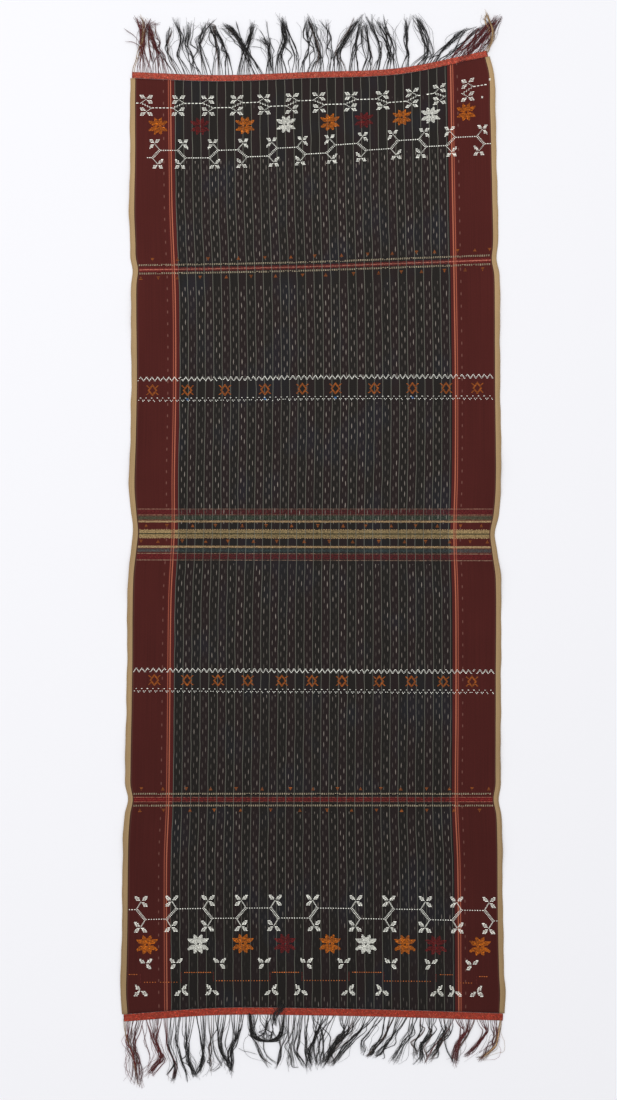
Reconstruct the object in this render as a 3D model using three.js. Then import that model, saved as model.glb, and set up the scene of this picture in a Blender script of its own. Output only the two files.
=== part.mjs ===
// A warp-striped shoulder cloth laid flat, face up, with a twined border and a loose fringe at each end.
// Millimetres, +Z up. X runs across the cloth and Y along its warp, and the surface it lies on is Z = 0.
import * as THREE from "three";

// The sheet.
const clothWidth = 710; // woven width, from selvedge to selvedge
const clothThickness = 1.3;
const clothRows = 50; // sections along the warp
const clothColumns = 18; // sections across it

// The twined border at each end, and the strip in which the fringe's roots are fused.
const pieceGap = 0.3;
const borderWidth = { upper: 11.5, lower: 13.5 };
const borderHeight = 2.4;
const borderInset = 3; // how far each border stops short of the selvedges
const borderSteps = 44;
const stripWidth = 2.2;
const stripHeight = 1.2;
const stripOverhang = 2; // how far the strip runs on past its outermost locks

// A lock of the fringe has three sides and lies on its flat one.
const lockFill = 0.66; // a lock's share of its pitch, the rest is air
const lockRootWidth = 3;
const lockHeight = 1.7;
const tipHeight = 0.8;
const tipFill = 0.45;
const lockSteps = [1 / 6, 1 / 3, 1 / 2, 2 / 3, 1]; // its sections: the neck is at a third, the bend at two
const raggedness = 9; // how far the tips of one bunch differ in length

// Turns a list of column names and rows of numbers into objects with those names.
const table = (names, ...rows) =>
  rows.map((row) => Object.fromEntries(names.map((name, i) => [name, row[i]])));

// Where the weft lies: each row is one line woven straight across, down millimetres below the upper end.
const weft = table(
  ["down", "left", "midLeft", "middle", "midRight", "right"],
  [0, 893.5, 887.5, 893.5, 901, 935],
  [47, 843, 843, 848.5, 854.5, 880],
  [87, 803, 803, 808.5, 820, 833],
  [139, 749.5, 749.5, 757, 768.5, 777],
  [351, 538, 540.5, 544.5, 551, 557.5],
  [567, 323, 326, 329.5, 329, 328],
  [821, 75, 75, 75, 75, 75],
  [1129, -231, -232, -233, -234, -234.5],
  [1361, -465.5, -465.5, -465.5, -465.5, -465.5],
  [1587, -694.5, -691.5, -691, -693.5, -696.5],
  [1646, -753.5, -750.5, -750.5, -752.5, -757],
  [1735, -840, -839, -839, -840, -842.5],
  [1768.5, -885, -872.5, -873, -877, -883],
);
const weftPlaces = ["left", "midLeft", "middle", "midRight", "right"];
const clothLength = weft.at(-1).down;

// The two selvedges, drawn in where the dense weft bands cross.
const selvedge = table(
  ["down", "left", "right"],
  [0, -347, 335.5],
  [30, -347.5, 344.5],
  [87, -347.5, 346],
  [139, -347.5, 348],
  [250, -349.5, 350.5],
  [310, -347.5, 352],
  [335, -347, 351.5],
  [360, -342, 349],
  [385, -345.5, 354],
  [430, -346, 355],
  [567, -345, 355.5],
  [700, -347.5, 357],
  [780, -349.5, 357],
  [830, -345.5, 353],
  [866, -342, 346],
  [900, -345.5, 349.5],
  [955, -351.5, 357],
  [1130, -353.5, 357],
  [1320, -357, 356.5],
  [1345, -357, 356.5],
  [1372, -352, 352],
  [1400, -357.5, 358],
  [1450, -361, 359.5],
  [1600, -363, 361],
  [1700, -365, 363.5],
  [1740, -366, 365.5],
  [1768.5, -363, 364],
);

// Low swells where the cloth doesn't lie quite flat: centre, half length, half width and height of each.
const swells = table(
  ["down", "across", "long", "wide", "high"],
  [70, 300, 120, 110, 3.5],
  [215, -330, 110, 80, 2.5],
  [440, -345, 75, 75, 3],
  [455, 330, 120, 70, 2],
  [745, 345, 80, 90, 3.5],
  [745, -345, 75, 75, 2.5],
  [950, -345, 75, 90, 3],
  [960, 345, 70, 80, 3],
  [1285, 340, 80, 75, 2.5],
  [1290, -345, 75, 75, 2],
  [1455, -345, 75, 80, 2.5],
  [1460, 345, 80, 75, 3],
  [1690, -300, 90, 110, 2],
);

// The bunches of the fringe, in order across the cloth: the span of their roots, the number of their locks,
// three places on their way with the bunch's breadth at the first two, and its breadth at the tips.
const bunchColumns = [
  "from", "to", "locks", "neckX", "neckY", "bendX", "bendY", "tipX", "tipY", "broad", "tipBroad",
];
const upperBunches = table(
  bunchColumns,
  [-334, -308, 5, -322, 947, -321, 978, -324, 1009, 11.5, 24],
  [-299, -266, 5, -291, 947, -295, 966, -290, 998, 11.5, 12],
  [-262, -250, 3, -276, 945, -275, 963, -269, 992, 6.6, 6],
  [-247, -238, 3, -258, 938, -251, 970, -262, 1004, 6.6, 6],
  [-224, -211, 3, -230, 930, -241, 959, -235, 997, 6.6, 7],
  [-208, -198, 3, -215, 947, -216, 966, -199, 1004, 6.6, 7],
  [-184, -171, 2, -181, 948, -188, 974, -193, 998, 4.6, 5],
  [-165, -157, 2, -162, 940, -171, 964, -182, 1001, 4.6, 5],
  [-144, -121, 5, -135, 948, -146, 973, -164, 994, 11, 14],
  [-117, -95, 3, -123, 946, -122, 972, -115, 995, 6.6, 8],
  [-90, -79, 2, -84, 943, -90, 968, -96, 998, 5, 14],
  [-68, -48, 4, -61, 938, -57, 960, -61, 1008, 8.8, 8],
  [-42, -30, 3, -33, 946, -43, 978, -49, 1008, 6.6, 5],
  [-23, -15, 3, -20, 925, -10, 957, -21, 1000, 6.6, 5],
  [-10, 22, 4, 13, 934, 3, 976, -7, 1004, 11, 7],
  [26, 33, 2, 34, 940, 32, 970, 26, 1000, 4.6, 7],
  [37, 57, 5, 48, 944, 61, 968, 79, 1003, 11, 9],
  [76, 84, 2, 77, 944, 85, 966, 92, 1001, 4.6, 5],
  [99, 105, 2, 109, 934, 103, 966, 99, 996, 4.6, 4.6],
  [120, 127, 2, 129, 936, 123, 970, 109, 1006, 4.6, 4.6],
  [133, 145, 3, 145, 936, 144, 968, 128, 1006, 6.6, 7],
  [156, 184, 4, 175, 950, 176, 978, 179, 1006, 11, 10],
  [187, 213, 5, 219, 941, 212, 975, 197, 1008, 12, 9],
  [219, 233, 4, 236, 942, 254, 964, 284, 987, 8.8, 8],
  [240, 296, 8, 287, 960, 307, 983, 328, 1011, 18, 17],
  [303, 330, 5, 338, 970, 343, 988, 357, 1012, 10, 9],
);
const lowerBunches = table(
  bunchColumns,
  [-355, -322, 6, -345, -937, -339, -968, -335, -1017, 13.5, 14],
  [-317, -288, 5, -300, -934, -287, -970, -312, -1000, 12, 12],
  [-282, -265, 4, -276, -944, -262, -982, -267, -1012, 9, 9],
  [-261, -251, 3, -260, -934, -249, -975, -240, -1010, 6.8, 7],
  [-247, -234, 4, -243, -943, -236, -977, -225, -1005, 9, 8],
  [-214, -204, 3, -206, -943, -207, -973, -213, -1000, 6.8, 6.5],
  [-199, -189, 2, -193, -938, -195, -968, -196, -991, 5, 5],
  [-186, -160, 4, -176, -930, -175, -958, -171, -979, 11, 10],
  [-150, -128, 5, -146, -930, -156, -958, -156, -995, 11, 10],
  [-124, -123, 1, -118, -923, -107, -944, -84, -980, 2.2, 2.2],
  [-119, -113, 2, -115, -912, -106, -930, -90, -935, 4.6, 4.6],
  [-62, -57, 2, -58, -912, -66, -929, -82, -934, 4.6, 4.6],
  [-54, -47, 3, -51, -923, -62, -950, -69, -984, 6.6, 7],
  [-43, -36, 3, -40, -934, -44, -958, -38, -986, 6.6, 6.6],
  [-32, -20, 4, -28, -924, -31, -957, -24, -985, 9, 8],
  [-17, -8, 3, -14, -924, -12, -955, -11, -990, 7, 6.6],
  [-4, 41, 8, 12, -922, 7, -953, 5, -982, 26, 17],
  [46, 92, 6, 62, -918, 38, -949, 22, -980, 18, 12],
  [97, 120, 6, 90, -913, 64, -943, 47, -971, 13, 11],
  [124, 134, 2, 112, -913, 93, -938, 95, -962, 4.8, 4.8],
  [139, 157, 3, 136, -925, 117, -949, 105, -966, 7, 6.6],
  [161, 180, 3, 154, -925, 137, -948, 120, -966, 7, 6.6],
  [184, 199, 5, 184, -920, 167, -944, 152, -975, 11, 12],
  [202, 211, 3, 205, -914, 192, -939, 194, -971, 7, 7],
  [217, 237, 4, 224, -920, 207, -948, 208, -978, 9, 9],
  [241, 264, 6, 254, -917, 239, -943, 222, -970, 13.5, 13],
  [273, 304, 5, 291, -916, 276, -943, 269, -979, 11.5, 12],
  [315, 332, 4, 329, -915, 309, -941, 290, -963, 9, 9],
  [339, 359, 5, 350, -925, 344, -947, 318, -971, 11.5, 12],
);

// A smooth curve through a table's column: cubic pieces whose slopes come from their neighbours.
function smooth(rows, key, at, along = "down") {
  const last = rows.length - 1;
  let i = 0;
  while (i < last - 1 && at > rows[i + 1][along]) i += 1;
  const slope = (k) => {
    const before = rows[Math.max(k - 1, 0)];
    const after = rows[Math.min(k + 1, last)];
    return (after[key] - before[key]) / (after[along] - before[along]);
  };
  const span = rows[i + 1][along] - rows[i][along];
  const u = (at - rows[i][along]) / span;
  const rise = rows[i + 1][key] - rows[i][key];
  const curve = slope(i) * span - rise;
  const back = rise - slope(i + 1) * span;
  return rows[i][key] + u * rise + u * (1 - u) * ((1 - u) * curve + u * back);
}

const swell = (u) => (Math.abs(u) < 1 ? (1 - u * u) ** 2 : 0);

// Where a point of the cloth lies: across from its middle, down from its upper end.
function place(across, down) {
  const share = across / clothWidth + 0.5;
  const left = smooth(selvedge, "left", down);
  const right = smooth(selvedge, "right", down);
  const line = weftPlaces.map((name, i) => ({ share: i / 4, y: smooth(weft, name, down) }));
  return new THREE.Vector2(left + share * (right - left), smooth(line, "y", share, "share"));
}

function lift(across, down) {
  return swells.reduce(
    (sum, s) => sum + s.high * swell((across - s.across) / s.wide) * swell((down - s.down) / s.long),
    0,
  );
}

// Collects points and faces of one closed solid.
class Solid {
  points = [];
  faces = [];

  point(x, y, z) {
    this.points.push(x, y, z);
    return this.points.length / 3 - 1;
  }

  triangle(a, b, c) {
    this.faces.push(a, b, c);
  }

  quad(a, b, c, d) {
    this.triangle(a, b, c);
    this.triangle(a, c, d);
  }

  mesh(name, material) {
    const geometry = new THREE.BufferGeometry();
    geometry.setAttribute("position", new THREE.Float32BufferAttribute(this.points, 3));
    geometry.setIndex(this.faces);
    geometry.computeVertexNormals();
    const mesh = new THREE.Mesh(geometry, material);
    mesh.name = name;
    return mesh;
  }
}

// Joins closed rings of points, each turning the same way about the way ahead, and closes both ends.
function skin(solid, rings) {
  const count = rings[0].length;
  for (let k = 0; k + 1 < rings.length; k += 1) {
    for (let i = 0; i < count; i += 1) {
      const next = (i + 1) % count;
      solid.quad(rings[k][i], rings[k][next], rings[k + 1][next], rings[k + 1][i]);
    }
  }
  const first = rings[0];
  const last = rings.at(-1);
  for (let i = 1; i + 1 < count; i += 1) {
    solid.triangle(first[0], first[i + 1], first[i]);
    solid.triangle(last[0], last[i], last[i + 1]);
  }
}

// The sheet: an upper and a lower skin over one grid, joined round its rim.
function clothSheet(material) {
  const solid = new Solid();
  const grid = [0, clothThickness].map((above) => {
    const rows = [];
    for (let r = 0; r <= clothRows; r += 1) {
      const down = (clothLength * r) / clothRows;
      const row = [];
      for (let c = 0; c <= clothColumns; c += 1) {
        const across = clothWidth * (c / clothColumns - 0.5);
        const at = place(across, down);
        row.push(solid.point(at.x, at.y, lift(across, down) + above));
      }
      rows.push(row);
    }
    return rows;
  });
  const [under, over] = grid;
  for (let r = 0; r < clothRows; r += 1) {
    for (let c = 0; c < clothColumns; c += 1) {
      solid.quad(over[r][c], over[r + 1][c], over[r + 1][c + 1], over[r][c + 1]);
      solid.quad(under[r][c], under[r][c + 1], under[r + 1][c + 1], under[r + 1][c]);
    }
    solid.quad(under[r][0], under[r + 1][0], over[r + 1][0], over[r][0]);
    const edge = clothColumns;
    solid.quad(over[r][edge], over[r + 1][edge], under[r + 1][edge], under[r][edge]);
  }
  for (let c = 0; c < clothColumns; c += 1) {
    const end = clothRows;
    solid.quad(over[0][c], over[0][c + 1], under[0][c + 1], under[0][c]);
    solid.quad(under[end][c], under[end][c + 1], over[end][c + 1], over[end][c]);
  }
  return solid.mesh("cloth", material);
}

// A point off one end of the cloth: across it, out beyond its edge and square to that edge.
function offEnd(end, across, out) {
  const reach = 4; // how far to each side the edge's direction is taken
  const here = place(across, end.down);
  const side = place(across + reach, end.down).sub(place(across - reach, end.down)).normalize();
  return here.add(new THREE.Vector2(-side.y, side.x).multiplyScalar(end.way * out));
}

const ends = {
  upper: { down: 0, way: 1, bunches: upperBunches, borderWidth: borderWidth.upper },
  lower: { down: clothLength, way: -1, bunches: lowerBunches, borderWidth: borderWidth.lower },
};

// The border's section from its foot at the cloth round to its outer foot, as shares of width and height.
const borderSection = table(
  ["out", "up"],
  [0, 0],
  [-0.02, 0.3],
  [0.09, 0.78],
  [0.32, 1],
  [0.68, 1],
  [0.91, 0.78],
  [1.02, 0.3],
  [1, 0],
);

function border(name, end, material) {
  const solid = new Solid();
  const rings = [];
  const half = clothWidth / 2 - borderInset;
  const nib = 2.5; // length of each rounded end
  const nibSize = 0.6;
  for (let k = 0; k <= borderSteps; k += 1) {
    const across = THREE.MathUtils.lerp(-half + nib, half - nib, k / borderSteps);
    rings.push({ across, size: 1 });
  }
  rings.unshift({ across: -half, size: nibSize });
  rings.push({ across: half, size: nibSize });
  const lean = 0.02 * end.borderWidth; // keeps the bulging sides clear of the cloth and the fringe
  const points = rings.map(({ across, size }) =>
    borderSection.map((s) => {
      const share = 0.5 + (s.out - 0.5) * size;
      const at = offEnd(end, across, pieceGap + lean + share * end.borderWidth);
      return solid.point(at.x, at.y, s.up * borderHeight * (0.5 + 0.5 * size));
    }),
  );
  skin(solid, end.way > 0 ? points.map((ring) => ring.reverse()) : points);
  return solid.mesh(name, material);
}

// The share of the cloth's width, as a distance across, that lies at x on one end.
function acrossAt(end, x) {
  const left = smooth(selvedge, "left", end.down);
  const right = smooth(selvedge, "right", end.down);
  return clothWidth * ((x - left) / (right - left) - 0.5);
}

// The ways of one bunch's locks, side by side in the order of their roots.
function bunchWays(end, bunch, stripOut) {
  const places = ["neck", "bend", "tip"].map(
    (name) => new THREE.Vector2(bunch[name + "X"], bunch[name + "Y"]),
  );
  const middle = offEnd(end, acrossAt(end, (bunch.from + bunch.to) / 2), stripOut);
  const line = [middle, ...places];
  const sides = line.map((at, i) => {
    const way = line[Math.min(i + 1, 3)].clone().sub(line[Math.max(i - 1, 0)]).normalize();
    return new THREE.Vector2(way.y, -way.x).multiplyScalar(end.way);
  });
  const ahead = places[2].clone().sub(places[1]).normalize();
  const locks = [];
  for (let j = 0; j < bunch.locks; j += 1) {
    const share = (j + 0.5) / bunch.locks - 0.5;
    const rootX = THREE.MathUtils.lerp(bunch.from, bunch.to, share + 0.5);
    const rootAcross = acrossAt(end, rootX);
    const root = offEnd(end, rootAcross, stripOut);
    const off = (i, breadth) => line[i].clone().addScaledVector(sides[i], share * breadth);
    const tip = off(3, bunch.tipBroad);
    tip.addScaledVector(ahead, raggedness * (((j * 3) % 5) / 5 - 0.5));
    const way = [root, off(1, bunch.broad), off(2, bunch.broad), tip];
    const pitch = Math.abs(bunch.to - bunch.from) / bunch.locks;
    locks.push({
      rootAcross,
      rootWidth: Math.min(lockRootWidth, lockFill * Math.max(pitch, bunch.broad / bunch.locks)),
      width: (lockFill * bunch.broad) / bunch.locks,
      curve: new THREE.CatmullRomCurve3(way.map((p) => new THREE.Vector3(p.x, p.y, 0))),
    });
  }
  return locks;
}

// One end's fringe: a flat strip along the border, and a lock that grows out of its outer wall at each root.
function fringe(name, end, material) {
  const solid = new Solid();
  const innerOut = end.borderWidth * 1.04 + 2 * pieceGap;
  const outerOut = innerOut + stripWidth;
  const locks = end.bunches.flatMap((bunch) => bunchWays(end, bunch, outerOut));
  const stations = [];
  const addStation = (across, halfWidth) => {
    const inner = offEnd(end, across, innerOut);
    const outer = offEnd(end, across, outerOut);
    const feet = [-halfWidth, halfWidth].map((by) => offEnd(end, across + by, outerOut));
    stations.push({
      innerFoot: solid.point(inner.x, inner.y, 0),
      innerTop: solid.point(inner.x, inner.y, stripHeight),
      outerTop: solid.point(outer.x, outer.y, stripHeight),
      outerFeet: feet.map((at) => solid.point(at.x, at.y, 0)),
    });
    return stations.at(-1);
  };
  const nib = 0.5;
  const firstAcross = locks[0].rootAcross - locks[0].rootWidth / 2;
  const lastAcross = locks.at(-1).rootAcross + locks.at(-1).rootWidth / 2;
  // A face is listed for the upper end, and turned round for the lower one.
  const face = (...corners) => {
    const turned = end.way > 0 ? corners : corners.reverse();
    if (turned.length === 3) solid.triangle(...turned);
    else solid.quad(...turned);
  };
  addStation(firstAcross - stripOverhang, nib);
  const roots = locks.map((lock) => addStation(lock.rootAcross, lock.rootWidth / 2));
  addStation(lastAcross + stripOverhang, nib);
  stations.forEach((here, i) => {
    const [footLeft, footRight] = here.outerFeet;
    face(here.innerFoot, footLeft, footRight);
    if (i + 1 === stations.length) return;
    const next = stations[i + 1];
    face(here.innerFoot, footRight, next.outerFeet[0], next.innerFoot);
    face(here.innerTop, next.innerTop, next.outerTop, here.outerTop);
    face(here.innerFoot, next.innerFoot, next.innerTop, here.innerTop);
    face(footRight, here.outerTop, next.outerTop, next.outerFeet[0]);
  });
  const first = stations[0];
  const last = stations.at(-1);
  [first, last].forEach((s) => face(s.outerFeet[0], s.outerTop, s.outerFeet[1]));
  face(first.innerFoot, first.innerTop, first.outerTop, first.outerFeet[0]);
  face(last.innerFoot, last.outerFeet[1], last.outerTop, last.innerTop);
  locks.forEach((lock, i) => {
    const [footLeft, footRight] = roots[i].outerFeet;
    let ring = [footLeft, roots[i].outerTop, footRight];
    lockSteps.forEach((share) => {
      const at = lock.curve.getPoint(share);
      const way = lock.curve.getTangent(share);
      const thin = THREE.MathUtils.smoothstep(share, 0.6, 1);
      const width = lock.width * THREE.MathUtils.lerp(1, tipFill, thin);
      const height = THREE.MathUtils.lerp(lockHeight, tipHeight, thin);
      const side = new THREE.Vector3(way.y, -way.x, 0).multiplyScalar((end.way * width) / 2);
      const next = [
        solid.point(at.x - side.x, at.y - side.y, 0),
        solid.point(at.x, at.y, height),
        solid.point(at.x + side.x, at.y + side.y, 0),
      ];
      for (let k = 0; k < 3; k += 1) {
        const other = (k + 1) % 3;
        face(ring[k], ring[other], next[other], next[k]);
      }
      ring = next;
    });
    face(ring[0], ring[1], ring[2]);
  });
  return solid.mesh(name, material);
}

function yarn(color, roughness) {
  return new THREE.MeshStandardMaterial({ color, roughness, metalness: 0 });
}

const shoulderCloth = new THREE.Group();
shoulderCloth.add(
  clothSheet(yarn(0x352a29, 0.95)),
  border("end_border_upper", ends.upper, yarn(0xa8402f, 0.9)),
  border("end_border_lower", ends.lower, yarn(0xa8402f, 0.9)),
  fringe("fringe_upper", ends.upper, yarn(0x2a2424, 0.95)),
  fringe("fringe_lower", ends.lower, yarn(0x2a2424, 0.95)),
);

// The origin is the middle of the whole cloth's outline, on the surface that it lies on.
const middle = new THREE.Box3().setFromObject(shoulderCloth).getCenter(new THREE.Vector3());
shoulderCloth.position.set(-middle.x, -middle.y, 0);

export default shoulderCloth;
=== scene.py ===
import math

import bpy
import numpy as np
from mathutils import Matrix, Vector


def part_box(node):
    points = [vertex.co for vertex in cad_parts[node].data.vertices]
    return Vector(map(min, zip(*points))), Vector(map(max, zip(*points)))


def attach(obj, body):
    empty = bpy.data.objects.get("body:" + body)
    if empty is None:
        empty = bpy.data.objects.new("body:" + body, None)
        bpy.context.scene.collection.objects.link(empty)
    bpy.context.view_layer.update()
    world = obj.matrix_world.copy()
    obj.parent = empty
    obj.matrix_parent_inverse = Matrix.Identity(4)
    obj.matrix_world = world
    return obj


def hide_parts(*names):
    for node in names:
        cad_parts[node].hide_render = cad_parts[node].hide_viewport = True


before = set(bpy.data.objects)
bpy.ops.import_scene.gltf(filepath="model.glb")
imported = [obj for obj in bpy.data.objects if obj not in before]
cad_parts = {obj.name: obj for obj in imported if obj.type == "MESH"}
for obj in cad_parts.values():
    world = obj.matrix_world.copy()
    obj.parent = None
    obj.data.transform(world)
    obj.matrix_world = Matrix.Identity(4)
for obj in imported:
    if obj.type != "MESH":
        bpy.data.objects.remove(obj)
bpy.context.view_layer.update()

MM = 0.001
CLOTH_WIDTH = 710.0
CLOTH_LENGTH = 1768.5
CLOTH_THICKNESS = 1.1

# The photograph's pixels, for the motifs that are placed one by one: their size, and the cloth's middle.
PIXEL = 1.9
MIDDLE_COLUMN = 313
MIDDLE_ROW = 548.5

chance = np.random.default_rng(11)


def table(names, *rows):
    """The columns of a table of numbers, each by its name."""
    return dict(zip(names.split(), np.array(rows, float).T))


# Where the weft lies: each row is one line woven straight across, down millimetres below the upper end.
WEFT = table(
    "down left mid_left middle mid_right right",
    (0, 893.5, 887.5, 893.5, 901, 935),
    (47, 843, 843, 848.5, 854.5, 880),
    (87, 803, 803, 808.5, 820, 833),
    (139, 749.5, 749.5, 757, 768.5, 777),
    (351, 538, 540.5, 544.5, 551, 557.5),
    (567, 321.5, 322, 325, 326, 327),
    (821, 75, 75, 75, 75, 75),
    (1129, -231, -232, -233, -234, -234.5),
    (1361, -465.5, -465.5, -465.5, -465.5, -465.5),
    (1587, -694.5, -691.5, -691, -693.5, -696.5),
    (1646, -753.5, -750.5, -750.5, -752.5, -757),
    (1735, -840, -839, -839, -840, -842.5),
    (1768.5, -885, -872.5, -873, -877, -883),
)
WEFT_PLACES = ("left", "mid_left", "middle", "mid_right", "right")

# The two selvedges, drawn in where the dense weft bands cross.
SELVEDGE = table(
    "down left right",
    (0, -347, 335.5),
    (30, -347.5, 344.5),
    (87, -347.5, 346),
    (139, -347.5, 348),
    (250, -349.5, 350.5),
    (310, -347.5, 352),
    (335, -347, 351.5),
    (360, -342, 349),
    (385, -345.5, 354),
    (430, -346, 355),
    (567, -345, 355.5),
    (700, -347.5, 357),
    (780, -349.5, 357),
    (830, -345.5, 353),
    (866, -342, 346),
    (900, -345.5, 349.5),
    (955, -351.5, 357),
    (1130, -353.5, 357),
    (1320, -357, 356.5),
    (1345, -357, 356.5),
    (1372, -352, 352),
    (1400, -357.5, 358),
    (1450, -361, 359.5),
    (1600, -363, 361),
    (1700, -365, 363.5),
    (1740, -366, 365.5),
    (1768.5, -363, 364),
)

# The middles of the two orange warp stripes, which don't follow the selvedges quite.
STRIPE_WAY = table(
    "down left right",
    (0, -273, 264),
    (241, -270, 268),
    (405, -264, 271),
    (583, -263, 273.5),
    (754, -265.5, 273),
    (868, -266, 270.5),
    (994, -272, 274),
    (1210, -274.5, 274.5),
    (1381, -276.5, 273.5),
    (1495, -280.5, 278),
    (1768.5, -279.5, 280),
)
LEFT_STRIPE, RIGHT_STRIPE = 80, 625  # where those middles are across the weave as it was set up

# Low swells where the cloth doesn't lie quite flat: centre, half length, half width and height of each.
SWELLS = table(
    "down across long wide high",
    (70, 300, 120, 110, 3.5),
    (215, -330, 110, 80, 2.5),
    (440, -345, 75, 75, 3),
    (455, 330, 120, 70, 2),
    (745, 345, 80, 90, 3.5),
    (745, -345, 75, 75, 2.5),
    (950, -345, 75, 90, 3),
    (960, 345, 70, 80, 3),
    (1285, 340, 80, 75, 2.5),
    (1290, -345, 75, 75, 2),
    (1455, -345, 75, 80, 2.5),
    (1460, 345, 80, 75, 3),
    (1690, -300, 90, 110, 2),
)

# Soft puckers beside the drawn-in bands: the band's place, and the puckers' reach, height, pitch and phase.
PUCKERS = table(
    "down long high pitch phase",
    (359, 55, 0.5, 47, 0.2),
    (588, 60, 0.35, 61, 0.7),
    (868, 85, 0.7, 53, 0.4),
    (1148, 60, 0.35, 67, 0.1),
    (1372, 60, 0.6, 44, 0.9),
)


def smooth(knots, values, at):
    """A smooth curve through values at knots: cubic pieces whose slopes come from their neighbours.

    values has one row for each knot, and each row is a number or as many numbers as at has."""
    values = np.asarray(values, float).reshape(len(knots), -1)
    last = len(knots) - 1
    before = np.maximum(np.arange(last + 1) - 1, 0)
    after = np.minimum(np.arange(last + 1) + 1, last)
    slopes = (values[after] - values[before]) / (knots[after] - knots[before])[:, None]
    column = np.arange(at.size) if values.shape[1] > 1 else 0
    i = np.clip(np.searchsorted(knots, at) - 1, 0, last - 1)
    span = knots[i + 1] - knots[i]
    u = (at - knots[i]) / span
    low = values[i, column]
    rise = values[i + 1, column] - low
    curve = slopes[i, column] * span - rise
    back = rise - slopes[i + 1, column] * span
    return low + u * rise + u * (1 - u) * ((1 - u) * curve + u * back)


def along(columns, name, down):
    return smooth(columns["down"], columns[name], down)


def swell(u):
    return np.where(np.abs(u) < 1, (1 - u * u) ** 2, 0)


def selvedges(down):
    return along(SELVEDGE, "left", down), along(SELVEDGE, "right", down)


def weft_height(x, down):
    """The y of a point of the cloth, which lies on its line of weft."""
    left, right = selvedges(down)
    lines = [along(WEFT, name, down) for name in WEFT_PLACES]
    return smooth(np.linspace(0, 1, len(lines)), lines, (x - left) / (right - left))


def lift(x, down):
    """How high the underside of the cloth is above the surface."""
    left, right = selvedges(down)
    across = ((x - left) / (right - left) - 0.5) * CLOTH_WIDTH
    height = np.zeros_like(x)
    for centre, middle, long, wide, high in zip(*SWELLS.values()):
        height += high * swell((across - middle) / wide) * swell((down - centre) / long)
    for centre, long, high, pitch, phase in zip(*PUCKERS.values()):
        wave = 0.5 + 0.5 * np.sin(2 * math.pi * (across / pitch + phase) + 0.9 * np.sin(across / 71))
        height += high * wave * swell((down - centre) / long)
    return height


def weave_across(x, down):
    """Where a point of the cloth is across the weave, following the two orange warp stripes."""
    left, right = selvedges(down)
    a = along(STRIPE_WAY, "left", down)
    b = along(STRIPE_WAY, "right", down)
    west = LEFT_STRIPE * (x - left) / (a - left)
    middle = LEFT_STRIPE + (RIGHT_STRIPE - LEFT_STRIPE) * (x - a) / (b - a)
    east = RIGHT_STRIPE + (CLOTH_WIDTH - RIGHT_STRIPE) * (x - b) / (right - b)
    return np.where(x < a, west, np.where(x < b, middle, east))


def column_x(column):
    return (np.asarray(column, float) - MIDDLE_COLUMN) * PIXEL


def grid(columns, rows):
    """The x and the down of an even grid over the cloth, one row of the grid after another."""
    share, down = np.meshgrid(np.linspace(0, 1, columns + 1), np.linspace(0, CLOTH_LENGTH, rows + 1))
    share, down = share.ravel(), down.ravel()
    left, right = selvedges(down)
    return left + share * (right - left), down


# The tables' millimetres are moved to the frame by matching the sheet's box with the solid's.
CAD_COLUMNS, CAD_ROWS = 18, 50
coarse_x, coarse_down = grid(CAD_COLUMNS, CAD_ROWS)
coarse_y = weft_height(coarse_x, coarse_down)
cloth_low, cloth_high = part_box("cloth")
SHIFT = np.array([
    (cloth_low.x + cloth_high.x) / 2 / MM - (coarse_x.min() + coarse_x.max()) / 2,
    (cloth_low.y + cloth_high.y) / 2 / MM - (coarse_y.min() + coarse_y.max()) / 2,
    0,
])


def rgb(red, green, blue):
    """A colour as it looks on a screen, 0 to 255, as Blender's linear one."""
    share = np.array([red, green, blue], float) / 255
    return np.where(share <= 0.04045, share / 12.92, ((share + 0.055) / 1.055) ** 2.4)


COLOURS = {
    "tan": (170, 142, 104),
    "dark": (68, 46, 36),
    "brown": (84, 46, 40),
    "red": (75, 30, 27),
    "bright_red": (82, 31, 29),
    "orange": (156, 84, 64),
    "pale_orange": (176, 102, 78),
    "gap_red": (84, 34, 30),
    "speck": (140, 98, 88),
    "maroon_ground": (39, 31, 31),
    "green_ground": (35, 32, 30),
    "blue_ground": (32, 34, 41),
    "pale_line": (104, 105, 98),
    "faded_line": (104, 104, 94),
    "dash": (150, 141, 132),
    "white": (248, 248, 238),
    "motif_orange": (192, 102, 10),
    "motif_red": (106, 11, 13),
    "motif_blue": (60, 110, 165),
    "dull_orange": (162, 86, 24),
    "triangle": (138, 74, 24),
    "upright": (88, 24, 20),
    "dot": (182, 98, 42),
    "bead": (158, 146, 122),
    "border": (192, 86, 68),
    "border_pale": (196, 112, 92),
    "border_core": (132, 56, 44),
    "black": (27, 24, 25),
    "fringe_maroon": (92, 31, 33),
    "fringe_tan": (160, 132, 96),
    "fringe_stray": (104, 84, 76),
    "paper": (243, 243, 247),
    "paper_grain": (225, 225, 232),
}


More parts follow.
